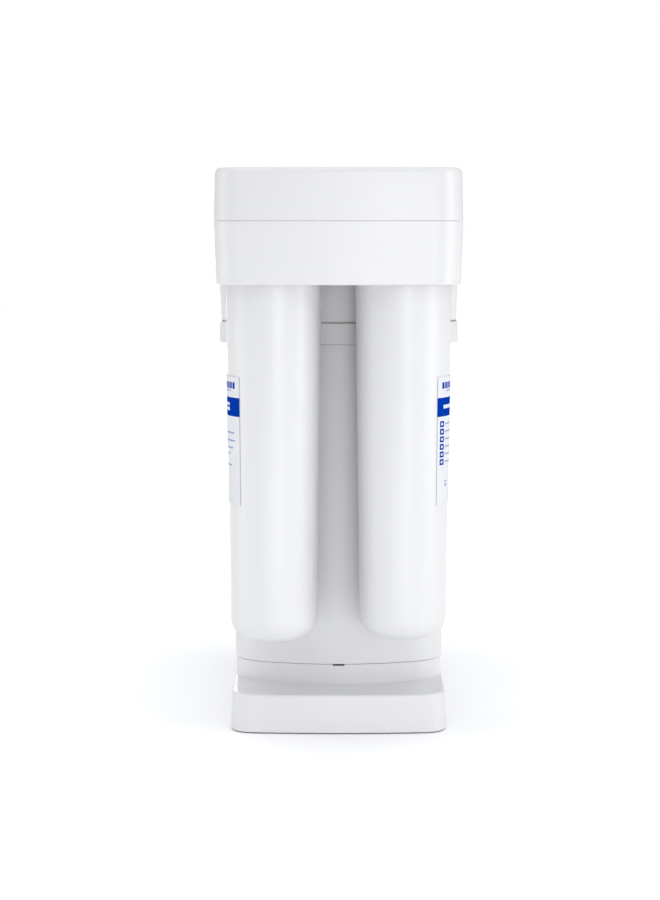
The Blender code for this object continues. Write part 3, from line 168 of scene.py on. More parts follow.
class WATERFILTER_PG_tank(PropertyGroup):
    """The tank's shell, its cover with the wide lip, and the neck under the head."""

    width: length("Width", "Across the shell's foot", 161.0)
    long: length("Length", "Along the shell's foot", 208.0)
    corner: length("Corner", "Radius of the shell's corners", 19.0)
    side_bow: length("Side bow", "How far the shell's sides swell", 1.2)
    end_bow: length("End bow", "How far the ends of the shell and its cover swell", 19.0)
    draft: length("Draft", "How much the shell widens up to its top", 1.2)
    wall: length("Wall", "Thickness of the walls", 2.5)
    foot_rise: length("Foot rise", "How far the shell's foot stays above the CAD model's", 1.0)
    cover_width: length("Cover width", "Across the lip that serves as a grip", 187.4)
    cover_long: length("Cover length", "Along the cover", 211.6)
    cover_corner: length("Cover corner", "Radius of the cover's corners", 26.0)
    cover_side_bow: length("Cover bow", "How far the cover's sides swell", 2.7)
    cover_flare: length("Cover flare", "How much the cover narrows up to its top", 0.6)
    cover_web: length("Web", "Thickness of the cover's web", 2.5)
    cover_lip: length("Lip edge", "Radius round the lip, below and above", 1.2)
    cover_seam: length("Cover seam", "Parting line between the shell and its cover", 0.1)
    hole: length("Hole", "Radius of the hole that the vessel's dome fills", 45.0)
    neck_setback: length("Neck setback", "From the cover's side to the neck's top edge", 0.5)
    neck_gap: length("Neck gap", "Height of the dark gap between the cover and the neck", 1.05)
    neck_waist: length("Neck waist", "How much the neck narrows down to its foot", 1.0)


class WATERFILTER_PG_stand(PropertyGroup):
    """The tray that the unit stands on, with the upright collar that the tank's shell sits over."""

    width: length("Width", "Across the tray at the floor", 163.0)
    long: length("Length", "Along the tray at the floor", 280.0)
    corner: length("Corner", "Radius of the tray's corners", 15.0)
    side_bow: length("Side bow", "How far the sides swell", 0.8)
    end_bow: length("End bow", "How far the ends swell", 4.0)
    draft: length("Draft", "How much the tray narrows up to its deck", 1.0)
    edge: length("Edge", "Radius round the top of the rim", 4.0)
    rim: length("Rim", "From the side to the step down to the deck", 4.6)
    step: length("Step", "Height of the rim over the deck", 1.7)
    slope: length("Slope", "How far the deck rises from its rim to the collar", 2.6)
    wall: length("Wall", "Thickness of the walls", 3.6)
    deck: length("Deck", "Thickness of the tray under its rim", 2.8)
    shoulder: length("Shoulder", "Height of the collar over the rim", 14.5)
    seam: length("Seam", "From the collar's shoulder up to the CAD model's shell", 0.4)
    root: length("Root", "Depth of the collar under the rim", 8.0)
    setback: length("Setback", "From the shell's side to the collar's side", 0.5)
    notch_width: length("Notch width", "Width of the pry notch", 8.8)
    notch_height: length("Notch height", "Height of the pry notch", 1.1)
    rebate: length("Rebate", "Depth of the edge round the base plate", 1.6)
    panel: length("Panel", "Width of the base plate's raised border", 11.0)


class WATERFILTER_PG_module(PropertyGroup):
    """One twist-off filter module and its label."""

    radius: length("Radius", "At the mouth of the canister", 35.1)
    draft: length("Draft", "How much the canister narrows down to its foot", 3.3)
    wall: length("Wall", "Thickness of the canister", 2.2)
    flat: length("Flat", "Radius of the flat under the canister", 12.0)
    foot: length("Foot", "Height of the rounded foot", 15.0)
    foot_rise: length("Foot rise", "How far the foot stays above the CAD model's", 1.2)
    film: length("Film", "Thickness of the label", 0.25)
    label_drop: length("Label drop", "From the mouth down to the label", 72.1)
    label_height: length("Label height", "Height of the label", 93.7)
    label_start: degrees("Label start", "Angle from the unit's end to the label's inner edge", 45.4)
    label_span: degrees("Label span", "Angle that the label covers", 103)


class WATERFILTER_PG_works(PropertyGroup):
    """What the lid covers: sockets, channel plate, screws, valve and inserts."""

    socket_wall: length("Socket wall", "Thickness of a socket's skirt", 3.0)
    socket_ledge: length("Socket ledge", "Height of the ledges that hold the lugs", 2.7)
    socket_mouth: length("Socket mouth", "Radius inside the ledges", 24.6)
    ledge_arc: degrees("Ledge arc", "Angle that a ledge covers", 60)
    boss: length("Boss", "Radius of a socket's boss", 17.26)
    bore: length("Bore", "Radius of a socket's bore", 13.36)
    roof: length("Roof", "Thickness of the sockets' roofs", 3.0)
    flutes: IntProperty(name="Flutes", description="Number of grip flutes round a socket", default=20)
    flute_depth: length("Flute depth", "Depth of the grip flutes", 0.7)
    plate: length("Plate", "Thickness of the channel plate", 4.0)
    plate_corner: length("Plate corner", "Radius of the channel plate's corners", 34.0)
    collar_wall: length("Collar wall", "Thickness of the plate's collars", 3.0)
    collar_height: length("Collar height", "Height of the plate's collars", 9.0)
    channel: length("Channel", "Radius of the water channels", 4.5)
    channel_rise: length("Channel rise", "Height of the channels' middles over the plate", 4.0)
    pillar: length("Pillar", "Radius of the plate's pillars", 5.0)
    pillar_gap: length("Pillar gap", "From a screw's tip up to its pillar's foot", 2.8)
    post: length("Post", "Radius of the post over the tank's stem", 10.6)
    post_bore: length("Post bore", "Radius of the bore in the post", 6.6)
    post_gap: length("Post gap", "From the stem's nut up to the post", 2.2)
    screw: length("Screw", "Radius of a screw's shank", 2.2)
    screw_head: length("Screw head", "Radius of a screw's head", 4.4)
    screw_head_height: length("Screw head height", "Height of a screw's head", 2.6)
    screw_crown: length("Screw crown", "Height of the round of a screw's head", 0.9)
    socket_hex: length("Hex socket", "Radius of the hexagon in a screw's head", 1.9)
    valve: length("Valve", "Radius of the shut-off valve", 27.0)
    valve_floor: length("Valve floor", "Thickness under the valve's chamber", 6.4)
    valve_wall: length("Valve wall", "Thickness round the valve's chamber", 7.0)
    cap_wall: length("Cap wall", "Thickness round the valve's cap", 9.0)
    cap_roof: length("Cap roof", "Thickness over the valve's spring", 3.0)
    stem: length("Stem", "Radius of the hole for the plunger's stem", 5.4)
    ribs: IntProperty(name="Ribs", description="Number of ribs round the valve's cap", default=30)
    insert: length("Insert", "Radius of the check valve and the restrictor", 9.0)
    insert_nose: length("Insert nose", "Slope at the top of an insert", 2.0)
    groove: length("Groove", "Width of an insert's grip groove", 2.0)
    groove_drop: length("Groove drop", "From an insert's top to the foot of its lower groove", 9.0)
    groove_pitch: length("Groove pitch", "From one grip groove to the next", 2.6)


class WATERFILTER_PG_ports(PropertyGroup):
    """The port block behind the neck's window, and its push-in collets."""

    radius: length("Radius", "Radius of a port's body", 8.5)
    spacing: length("Spacing", "From port to port", 30.0)
    plate: length("Plate", "Thickness of the block's plate", 2.5)
    margin: length("Margin", "From a port's body to the plate's edge", 6.0)
    window: length("Window", "From a port's body to the window's edge", 3.4)
    window_corner: length("Window corner", "Radius of the window's corners", 4.0)
    proud: length("Proud", "How far the ports stand out of the plate", 2.1)
    bore: length("Bore", "Radius of the water way", 3.5)
    collet: length("Collet", "Radius of a collet's sleeve", 5.3)
    collet_bore: length("Collet bore", "Radius of the hole for the tube", 3.3)
    collet_flange: length("Collet flange", "Radius of a collet's flange", 7.0)
    flange: length("Flange", "Thickness of a collet's flange", 1.5)
    pocket: length("Pocket", "Room behind a collet's sleeve", 1.8)


class WATERFILTER_PG_finishes(PropertyGroup):
    """Colours of the mouldings and of what is printed on the labels."""

    white_gloss: colour("White gloss", "Outer mouldings", 0.68, 0.681, 0.689)
    white_satin: colour("White satin", "Mouldings inside the head", 0.70, 0.705, 0.715)
    natural_plastic: colour("Natural plastic", "Vessel and tubes", 0.66, 0.67, 0.65)
    label_film: colour("Label film", "Ground of the labels", 0.68, 0.69, 0.72)
    grey_plastic: colour("Grey plastic", "Base plate, saddle and valve body", 0.26, 0.28, 0.30)
    black_rubber: colour("Black rubber", "Feet and seals", 0.022, 0.022, 0.023)
    clear_film: colour("Clear film", "Bladder in the vessel", 0.60, 0.66, 0.70)
    carbon_block: colour("Carbon block", "Filter elements", 0.035, 0.035, 0.038)
    blue_plastic: colour("Blue plastic", "Caps and inserts", 0.008, 0.06, 0.36)
    steel: colour("Steel", "Screws and the spring", 0.60, 0.60, 0.61)
    ink: colour("Ink", "Printed band and squares", 0.001, 0.034, 0.33)
    pale_ink: colour("Pale ink", "Fine printed lines", 0.30, 0.37, 0.52)
    paper: colour("Paper", "Bars left bare in the printed band", 0.60, 0.64, 0.71)


class WATERFILTER_PG_stage(PropertyGroup):
    """Camera, floor and studio light."""

    camera_back: length("Camera distance", "From the unit's middle to the camera", 1634.1)
    camera_height: length("Camera height", "Height of the camera", 382.0)
    camera_dip: degrees("Camera dip", "How far the camera looks down", 3.197)
    focal: number("Focal length", "In millimetres", 81.32)
    sensor: number("Sensor width", "In millimetres", 36.0)
    shift_across: number("Shift across", "Share of the picture's long side", -0.00944)
    shift_up: number("Shift up", "Share of the picture's long side", -0.12895)
    floor: length("Floor", "Side of the floor", 14000.0)
    floor_colour: colour("Floor colour", "Pale studio floor", 0.93, 0.93, 0.93)
    surround: number("Surround", "Brightness of the even light all round", 0.40)
    surround_colour: colour("Surround colour", "A slightly cool white", 0.976, 0.984, 1.0)
    overhead: number("Overhead", "How much brighter it is straight above", 1.41)
    focus: number("Focus", "How tightly the light from above gathers round the zenith", 2.0)
    key: number("Key light", "Power of the soft light at the right, in watts", 9.5)
    fill: number("Fill light", "Power of the soft light at the left, in watts", 0.8)
    low: number("Low light", "Power of the small light before the stand, in watts", 0.3)
    front: number("Front light", "Power of the light by the camera, in watts", 4.5)
    rear: number("Rear light", "Power of the light behind the unit, in watts", 4.5)


# Surfaces, each worked out as whole arrays


def bowed_ring(half_x, half_y, corner, side_bow, end_bow, z):
    """One ring of a bowed rounded rectangle at a height, as an (n, 3) array.

    A quarter of it is a straight side, an arc of the corner's radius and a straight end, and the other
    quarters mirror it. Then x gives up side_bow * (y / half_y)^2 * (x / half_x), and y gives up
    end_bow * (x / half_x)^2 * (y / half_y), so the sides and ends swell outwards in their middles.
    """
    side = np.linspace(0, 1, SIDE_POINTS, endpoint=False)
    turn = np.linspace(0, QUARTER_TURN, CORNER_POINTS)
    end = np.linspace(1, 0, END_POINTS, endpoint=False)[1:]
    x = np.concatenate([half_x + 0 * side, half_x - corner + corner * np.cos(turn), (half_x - corner) * end])
    y = np.concatenate([(half_y - corner) * side, half_y - corner + corner * np.sin(turn), half_y + 0 * end])
    back_x = np.append(0, x[:0:-1])
    back_y = np.append(half_y, y[:0:-1])
    ring_x = np.concatenate([x, -back_x, -x, back_x])
    ring_y = np.concatenate([y, back_y, -y, -back_y])
    share_x = ring_x / half_x
    share_y = ring_y / half_y
    bowed_x = ring_x - side_bow * share_y**2 * share_x
    bowed_y = ring_y - end_bow * share_x**2 * share_y
    return np.stack([bowed_x, bowed_y, np.full(ring_x.shape, z)], axis=1)


def outline(shape, inset, z, narrow=0.0):
    """A ring of a shape that has a width, a length, a corner and bows."""
    half_x = shape.width / 2 - inset - narrow
    half_y = shape.long / 2 - inset - narrow
    return bowed_ring(half_x, half_y, shape.corner - inset, shape.side_bow, shape.end_bow, z)


def round_ring(radius, z, like):
    """A circle at a height, with a point in the direction of each point of another ring."""
    flat = like[:, :2] / np.linalg.norm(like[:, :2], axis=1, keepdims=True)
    return np.column_stack([flat * radius, np.full(len(like), z)])


def stepped(*path):
    """Corners of a square-cut profile: a first inset or radius and height, then one new value in turn."""
    corners = [path[:2]]
    for turn, value in enumerate(path[2:]):
        across, z = corners[-1]
        corners.append((across, value) if turn % 2 else (value, z))
    return corners


def softened(rings, radii, wrap=False):
    """Rounds the corners of each meridian of a stack of rings (k, n, 3).

    The corner at a ring is swapped for an arc of its radius. The arc leaves the sides at
    radius * tan(turn / 2) from the corner, and its centre lies on the corner's bisector at
    radius / cos(turn / 2). Points swing from one side to the other as
    (sin((1 - t) turn) start + sin(t turn) stop) / sin(turn). Radius zero keeps a corner sharp.
    """
    rings = np.asarray(rings, float)
    radii = np.asarray(radii, float)[:, None]
    back = rings - np.roll(rings, 1, axis=0)
    ahead = np.roll(rings, -1, axis=0) - rings
    back_length = np.linalg.norm(back, axis=2)
    ahead_length = np.linalg.norm(ahead, axis=2)
    back = back / np.maximum(back_length, WELD)[..., None]
    ahead = ahead / np.maximum(ahead_length, WELD)[..., None]
    turn = np.arccos(np.clip((back * ahead).sum(axis=2), -1, 1))
    usable = (turn > FLAT_TURN) & (turn < math.pi - FLAT_TURN) & (radii > 0)
    if not wrap:
        usable[[0, -1]] = False
    half = np.where(usable, turn / 2, QUARTER_TURN / 2)
    reach = np.minimum(radii * np.tan(half), ROOM_SHARE * np.minimum(back_length, ahead_length))
    bisector = ahead - back
    bisector = bisector / np.maximum(np.linalg.norm(bisector, axis=2), WELD)[..., None]
    middle = rings + bisector * (reach / np.sin(half))[..., None]
    start = rings - back * reach[..., None] - middle
    stop = rings + ahead * reach[..., None] - middle
    step = np.linspace(0, 1, ARC_STEPS + 1)[:, None, None, None]
    swing = 2 * half[..., None]
    arc = middle + (np.sin((1 - step) * swing) * start + np.sin(step * swing) * stop) / np.sin(swing)
    arc = np.where(usable[..., None], arc, rings)
    rounded = arc.swapaxes(0, 1).reshape(-1, *rings.shape[1:])
    moved = np.abs(rounded - np.roll(rounded, 1, axis=0)).max(axis=(1, 2)) > WELD
    return rounded[moved]


def closing(ring):
    """Rings that shrink in equal steps from a ring to its middle point."""
    middle = ring.mean(axis=0)
    size = np.linspace(1, 0, CLOSING_STEPS + 1)[1:, None, None]
    return middle + (ring - middle) * size


def skin(rings, wrap=False):
    """Points and faces of quads between each ring and the next, and from the last to the first if wrapped."""
    rings = np.asarray(rings, float)
    index = np.arange(rings.shape[0] * rings.shape[1]).reshape(rings.shape[:2])
    if wrap:
        lower, upper = index, np.roll(index, -1, axis=0)
    else:
        lower, upper = index[:-1], index[1:]
    quads = [lower, np.roll(lower, -1, axis=1), np.roll(upper, -1, axis=1), upper]
    return rings.reshape(-1, 3), np.stack(quads, axis=2).reshape(-1, 4)


def capped(rings, radii):
    """A softened stack whose two ends are closed to their middles."""
    rings = softened(rings, radii)
    return skin(np.concatenate([closing(rings[0])[::-1], rings, closing(rings[-1])]))


def hollow(rings, radii):
    """A softened stack that joins up with itself, like a tube with walls."""
    return skin(softened(rings, radii, wrap=True), wrap=True)


def stacked(ring, shape, profile, radii, wrap=False):
    """A softened surface through the corners of a profile, each made into a ring by a function."""
    rings = [ring(shape, *corner) for corner in profile]
    return hollow(rings, radii) if wrap else capped(rings, radii)


def turned(profile, radii, facets=ROUND_FACETS, place=(0, 0, 0), axis=Z, wrap=False):
    """A softened profile of (radius, height) spun round an axis: r cos(a), r sin(a), and h along it."""
    radius, height = np.asarray(profile, float).T[:, :, None]
    turn = np.linspace(0, FULL_TURN, facets, endpoint=False)
    rings = np.stack([radius * np.cos(turn), radius * np.sin(turn), height + 0 * turn], axis=2)
    rings = np.roll(softened(rings, radii, wrap), axis + 1, axis=-1)
    return skin(rings + np.asarray(place, float), wrap)


def rod(radius, at, start, stop, edge=0.0, facets=SMALL_FACETS, axis=Z):
    """A round bar through a point, from one place on an axis up to another."""
    place = np.array(at, float)
    place[axis] = start
    return turned(stepped(0, 0, radius, stop - start, 0), (0, edge, edge, 0), facets, place, axis)


def swung(radius, z, turn, place):
    """A section of (r, z) corners carried round an arc of angles a: x = r cos(a), y = r sin(a)."""
    radius, z, turn = np.asarray(radius), np.asarray(z), turn[:, None]
    rings = np.stack([radius * np.cos(turn), radius * np.sin(turn), z + 0 * turn], axis=2)
    return capped(rings + np.asarray(place, float), np.zeros(len(rings)))


def block(corner_low, corner_high, corner, axis=Z, edge=FINE):
    """A box with rounded corners round one axis: a plain ring at each end, laid along that axis."""
    corner_low, corner_high = np.asarray(corner_low, float), np.asarray(corner_high, float)
    half = np.roll((corner_high - corner_low) / 2, Z - axis)
    ends = [(0, -half[Z], edge), (0, half[Z], edge)]
    if edge:
        ends = [(corner, -half[Z], 0), *ends, (corner, half[Z], 0)]
    rings = [
        bowed_ring(half[X] - inset, half[Y] - inset, corner - inset / 2, 0, 0, z) for inset, z, _ in ends
    ]
    points, faces = capped(rings, [radius for _, _, radius in ends])
    return np.roll(points, axis - Z, axis=-1) + (corner_low + corner_high) / 2, faces


def fluted(shell, place, reach, depth, count):
    """Draws in grip flutes: points at or past a reach from the axis lose depth * (1 + cos(count a))^2 / 4.

    Points nearer to the axis lose a share of it, which falls evenly to nothing within one depth.
    """
    points, faces = shell
    offset = points[:, :2] - np.asarray(place, float)[:2]
    radius = np.linalg.norm(offset, axis=1)
    angle = np.arctan2(offset[:, 1], offset[:, 0])
    cut = np.clip((radius - reach) / depth + 1, 0, 1) * depth * (1 + np.cos(count * angle)) ** 2 / 4
    scale = 1 - cut / np.maximum(radius, WELD)
    moved = points.copy()
    moved[:, :2] += offset * (scale - 1)[:, None]
    return moved, faces


def gathered(*shells):
    """Several closed surfaces as one list of points and one of faces."""
    counts = np.cumsum([0] + [len(points) for points, _ in shells[:-1]])
    points = np.concatenate([points for points, _ in shells])
    return points, np.concatenate([faces + count for (_, faces), count in zip(shells, counts)])


def as_mesh(shape):
    """A mesh of a surface, whose seams and poles are welded and whose faces are turned outwards."""
    if isinstance(shape, bpy.types.Mesh):
        return shape
    points, faces = shape
    data = bpy.data.meshes.new("piece")
    data.from_pydata(points.tolist(), [], faces.tolist())
    edit = bmesh.new()
    edit.from_mesh(data)
    bmesh.ops.remove_doubles(edit, verts=edit.verts, dist=WELD)
    bmesh.ops.recalc_face_normals(edit, faces=edit.faces)
    edit.to_mesh(data)
    edit.free()
    return data


def new_object(name, data):
    """An object in the scene."""
    obj = bpy.data.objects.new(name, data)
    bpy.context.scene.collection.objects.link(obj)
    return obj


def worked(shape, operation, *shells):
    """A shape joined with others, or cut by them, as a mesh with the result baked in."""
    target = new_object("work", as_mesh(shape))
    tools = [new_object("tool", as_mesh(shell)) for shell in shells]
    for tool in tools:
        step = target.modifiers.new("work", "BOOLEAN")
        step.operation = operation
        step.solver = "MANIFOLD"
        step.object = tool
    bpy.context.view_layer.update()
    graph = bpy.context.evaluated_depsgraph_get()
    made = bpy.data.meshes.new_from_object(target.evaluated_get(graph))
    for obj in (target, *tools):
        mesh = obj.data
        bpy.data.objects.remove(obj)
        bpy.data.meshes.remove(mesh)
    return made


def place_piece(node, shape, finish=None):
    """Puts a piece where its node is: it rides on the node's body, replaces it and takes its finish."""
    if node not in NODE_BODY:
        raise RuntimeError(f"The packed model has no node named {node}")
    name = f"{node}_finished"
    data = as_mesh(shape)
    data.name = name
    data.shade_smooth()
    data.set_sharp_from_angle(angle=SHARP_ANGLE)
    data.materials.clear()
    data.materials.append(finish or slot_finish(NODE_SLOT[node]))
    piece = new_object(name, data)
    piece.modifiers.new("even_shading", "WEIGHTED_NORMAL").keep_sharp = True
    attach(piece, NODE_BODY[node])
    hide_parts(node)
    return piece


# Finishes

DULL = 0.0  # a specular level that leaves no gloss
ROUGHNESS_SPREAD = 6  # how many grains wide a patch of one roughness is
NOISE_RANGE = (0.3, 0.7)  # between which nearly all of a noise's values lie
COAT_ROUGHNESS = 0.12
MIX_SHARE, MIX_FIRST, MIX_SECOND, MIX_RESULT = 0, 6, 7, 2  # a colour mix node's sockets


def fill(tree, node, sockets):
    """Fills or links a shader node's sockets, by number or name."""
    for key, value in sockets.items():
        if isinstance(value, bpy.types.NodeSocket):
            tree.links.new(value, node.inputs[key])
        else:
            node.inputs[key].default_value = value


def add_node(tree, kind, sockets=(), **settings):
    """Adds a shader node, sets its properties, and fills or links its sockets."""
    node = tree.nodes.new(kind)
    for key, value in settings.items():
        setattr(node, key, value)
    fill(tree, node, dict(sockets))
    return node


def math_node(tree, operation, *values):
    return add_node(tree, "ShaderNodeMath", enumerate(values), operation=operation).outputs[0]


def noise(tree, where, scale, detail=3.0):
    sockets = {"Vector": where, "Scale": scale, "Detail": detail}
    return add_node(tree, "ShaderNodeTexNoise", sockets).outputs[0]


def spread(tree, value, least, most):
    """Stretches a noise's middle range over another range."""
    start, stop = NOISE_RANGE
    sockets = {"Value": value, "From Min": start, "From Max": stop, "To Min": least, "To Max": most}
    return add_node(tree, "ShaderNodeMapRange", sockets).outputs[0]


def mixed(tree, share, first, second):
    """A colour between two others."""
    sockets = {MIX_SHARE: share, MIX_FIRST: first, MIX_SECOND: second}
    return add_node(tree, "ShaderNodeMix", sockets, data_type="RGBA").outputs[MIX_RESULT]


def moulded(
    name, base, tint, smooth, rough, cloud, grain, relief, specular=0.5, metal=0.0, coat=0.0, see_through=0.0
):
    """A finish on Object coordinates: two close tints in clouds, wandering roughness and a fine relief."""
    finish = bpy.data.materials.new(name)
    finish.use_nodes = True
    tree = finish.node_tree
    where = add_node(tree, "ShaderNodeTexCoord").outputs["Object"]
    darker = [channel * (1 - tint) for channel in base]
    clouds = spread(tree, noise(tree, where, cloud), 0, 1)
    patches = noise(tree, where, grain / ROUGHNESS_SPREAD)
    surface = noise(tree, where, grain, 2.0)
    bump = add_node(tree, "ShaderNodeBump", {"Height": surface, "Strength": 1.0, "Distance": relief})
    sockets = {
        "Base Color": mixed(tree, clouds, (*darker, 1), (*base, 1)),
        "Roughness": spread(tree, patches, smooth, rough),
        "Normal": bump.outputs[0],
        "Specular IOR Level": specular,
        "Metallic": metal,
        "Coat Weight": coat,
        "Coat Roughness": COAT_ROUGHNESS,
        "Transmission Weight": see_through,
    }
    fill(tree, tree.nodes["Principled BSDF"], sockets)
    return finish


# Tint, least and most roughness, clouds and grains per metre, relief; then specular, metal, coat, see-through
RECIPES = {
    "white_gloss": (0.02, 0.29, 0.35, 9.0, 700.0, 0.000004),
    "white_satin": (0.035, 0.38, 0.48, 14.0, 1400.0, 0.00001),
    "natural_plastic": (0.06, 0.40, 0.52, 18.0, 1600.0, 0.00002),
    "grey_plastic": (0.12, 0.46, 0.62, 22.0, 2400.0, 0.00004),
    "black_rubber": (0.35, 0.70, 0.88, 60.0, 3200.0, 0.00006),
    "clear_film": (0.08, 0.28, 0.44, 12.0, 700.0, 0.00006, 0.5, 0.0, 0.0, 0.35),
    "carbon_block": (0.55, 0.78, 0.95, 260.0, 1800.0, 0.00018),
    "blue_plastic": (0.15, 0.34, 0.46, 24.0, 2000.0, 0.00002, 0.5, 0.0, 0.1),
    "steel": (0.14, 0.22, 0.38, 180.0, 5200.0, 0.000012, 0.5, 1.0),
    "label_film": (0.02, 0.32, 0.42, 30.0, 2600.0, 0.00001, DULL),
    "floor": (0.01, 0.8, 0.9, 1.0, 40.0, 0.0, DULL),
}


def slot_finish(slot):
    """The finish of one of the record's slots, made once."""
    name = f"{slot}_finish"
    made = bpy.data.materials.get(name)
    return made or moulded(name, getattr(bpy.context.scene.filter_finishes, slot), *RECIPES[slot])


# Plain marks on a label, in millimetres from its inner edge and down from its top: start, stop, top, bottom
BLOCK_PITCH = 3.9
ROW_PITCH = 5.55
BLOCKS = [BLOCK_PITCH * block for block in range(13)]
ROWS = [ROW_PITCH * row for row in range(6)]
SHARED_INK = [(-1.0, 70.0, 15.3, 29.1)] + [(4.9 + block, 7.8 + block, 4.1, 8.9) for block in BLOCKS]
SHARED_PALE = [(11.0, 40.0, 9.9, 11.0)]
LEFT_PAPER = [(13.0, 50.0, 19.3, 21.4), (13.0, 38.0, 22.6, 25.2)]
LEFT_PALE = [
    (6.3, 30.0, 40.6, 41.9),
    (5.4, 42.0, 46.3, 47.6),
    (8.2, 44.0, 51.6, 52.9),
    (12.5, 40.0, 56.2, 57.2),
    (10.6, 36.0, 64.4, 65.6),
]
RIGHT_INK = [(2.7, 8.0, 32.4 + row, 36.8 + row) for row in ROWS]
RIGHT_PAPER = [(6.8, 50.0, 20.7, 23.4)] + [(4.2, 6.4, 33.7 + row, 35.5 + row) for row in ROWS]
RIGHT_PALE = [(9.4, 34.0, 34.0 + row, 35.2 + row) for row in ROWS]
RIGHT_PALE += [(9.7, 13.8, 76.0, 77.4), (9.7, 13.8, 78.6, 80.4)]
LEFT_MARKS = {"ink": SHARED_INK, "pale_ink": SHARED_PALE + LEFT_PALE, "paper": LEFT_PAPER}
RIGHT_MARKS = {"ink": SHARED_INK + RIGHT_INK, "pale_ink": SHARED_PALE + RIGHT_PALE, "paper": RIGHT_PAPER}


def printed(name, size, marks):
    """Label film whose marks are bars on the label's own UV map, measured in millimetres."""
    colours = bpy.context.scene.filter_finishes
    finish = moulded(name, colours.label_film, *RECIPES["label_film"])
    tree = finish.node_tree
    base = tree.nodes["Principled BSDF"].inputs["Base Color"]
    map_node = add_node(tree, "ShaderNodeUVMap", uv_map="label")
    axes = add_node(tree, "ShaderNodeSeparateXYZ", {0: map_node.outputs[0]})
    along = math_node(tree, "MULTIPLY", axes.outputs[X], size[X] / MM)
    down = math_node(tree, "MULTIPLY_ADD", axes.outputs[Y], -size[Y] / MM, size[Y] / MM)
    ground = base.links[0].from_socket
    for ink, bars in marks.items():
        cover = 0.0
        for start, stop, top, bottom in bars:
            across = math_node(tree, "COMPARE", along, (start + stop) / 2, (stop - start) / 2)
            upright = math_node(tree, "COMPARE", down, (top + bottom) / 2, (bottom - top) / 2)
            cover = math_node(tree, "MAXIMUM", cover, math_node(tree, "MULTIPLY", across, upright))
        ground = mixed(tree, cover, ground, (*getattr(colours, ink), 1))
    tree.links.new(ground, base)
    return finish


# Pieces


def head_ring(head, inset, z):
    """A ring of the head. The lid's draft grows up from the seam, and the case's grows down from it."""
    seam, top = high("head_case").z + head.seam, high("lid").z
    bottom = low("head_case").z
    up = head.lid_draft * max(z - seam, 0) / (top - seam)
    down = head.case_draft * max(seam - head.seam - z, 0) / (seam - head.seam - bottom)
    return outline(head, inset, z, up + down)


def make_lid(head):
    """A shell with a rounded top edge, and a tongue that drops into the case."""
    seam, top = high("head_case").z + head.seam, high("lid").z
    crown = head.lid_edge + INSIDE_REACH / 2
    fit = head.wall + FIT
    inner = fit + head.wall
    foot, ceiling = seam - head.tongue, top - head.wall
    corners = stepped(crown, top, 0, seam, fit, foot, inner, ceiling, inner + INSIDE_REACH)
    edges = (0, head.lid_edge, head.seam_edge, FINE, SOFT, SOFT, head.wall, 0)
    place_piece("lid", stacked(head_ring, head, corners, edges))


def make_case(head, works, module):
    """Walls round a raised floor, with holes for modules, screws, tubes and the post over the stem."""
    bottom, top = heights("head_case")
    floor = high("module_1_canister").z
    under = floor - head.floor
    reach = head.wall + INSIDE_REACH
    corners = stepped(reach, under, head.wall, bottom, 0, top, head.wall, floor, reach)
    edges = (0, head.case_edge, FINE, head.case_edge, head.seam_edge, FINE, head.wall / 2, 0)
    case = stacked(head_ring, head, corners, edges)
    tube = half_size("link_tube_tap", Y)
    tube_x = low("link_tube_tap").x + tube
    holes = [(spot(f"{name}_canister"), module.radius + 4 * FIT) for name in MODULES]
    holes += [(spot(name), works.screw + FIT) for name in SCREWS]
    holes += [((tube_x, centre(f"link_tube_{name}").y, 0), tube + FIT) for name in PORTS]
    holes.append(((0, 0, 0), works.post + 3 * FIT))
    cutters = [rod(radius, at, under - PASS, floor + PASS) for at, radius in holes]
    place_piece("head_case", worked(case, "DIFFERENCE", gathered(*cutters)))


def shell_ring(tank, inset, z):
    """A ring of the tank's shell, which widens upwards by its draft."""
    bottom, top = heights("tank_shell")
    grow = tank.draft * (z - bottom) / (top - bottom)
    return outline(tank, inset, z, -grow)


def cover_ring(tank, inset, z, narrow=0.0):
    """A ring of the tank's cover, whose long sides alone may be narrowed."""
    half_x = tank.cover_width / 2 - narrow - inset
    half_y = tank.cover_long / 2 - inset
    return bowed_ring(half_x, half_y, tank.cover_corner - inset, tank.cover_side_bow, tank.end_bow, z)


def make_tank(tank):
    """The upright shell, open at both ends."""
    bottom, top = low("tank_shell").z + tank.foot_rise, high("tank_shell").z + FIT - tank.cover_seam
    corners = stepped(tank.wall, bottom, 0, top, tank.wall)
    edges = (FINE, FINE / 2, tank.cover_seam, FINE)
    place_piece("tank_shell", stacked(shell_ring, tank, corners, edges, wrap=True))


def make_cover(tank):
    """The tank's lid: a wide lip, a web with a round hole, and a tongue inside the shell."""
    foot, top = low("tank_cover").z, high("tank_cover").z + FIT
    bottom = high("tank_shell").z + FIT
    web = bottom + tank.cover_web
    fit = tank.wall + FIT
    inner = fit + tank.wall
    rim = tank.cover_flare + tank.wall
    like = cover_ring(tank, 0, bottom)
    tongue = ((inner, bottom), (inner, foot), (fit, foot), (fit, bottom))
    lip = ((tank.cover_flare, top), (rim, top), (rim, web))
    rings = [
        round_ring(tank.hole, bottom, like),
        *(shell_ring(tank, *corner) for corner in tongue),
        like,
        *(cover_ring(tank, *corner) for corner in lip),
        round_ring(tank.hole, web, like),
    ]
    edges = (SOFT, SOFT, SOFT, SOFT, FINE, tank.cover_lip, tank.cover_lip / 2, SOFT, SOFT, SOFT)
    place_piece("tank_cover", hollow(rings, edges))


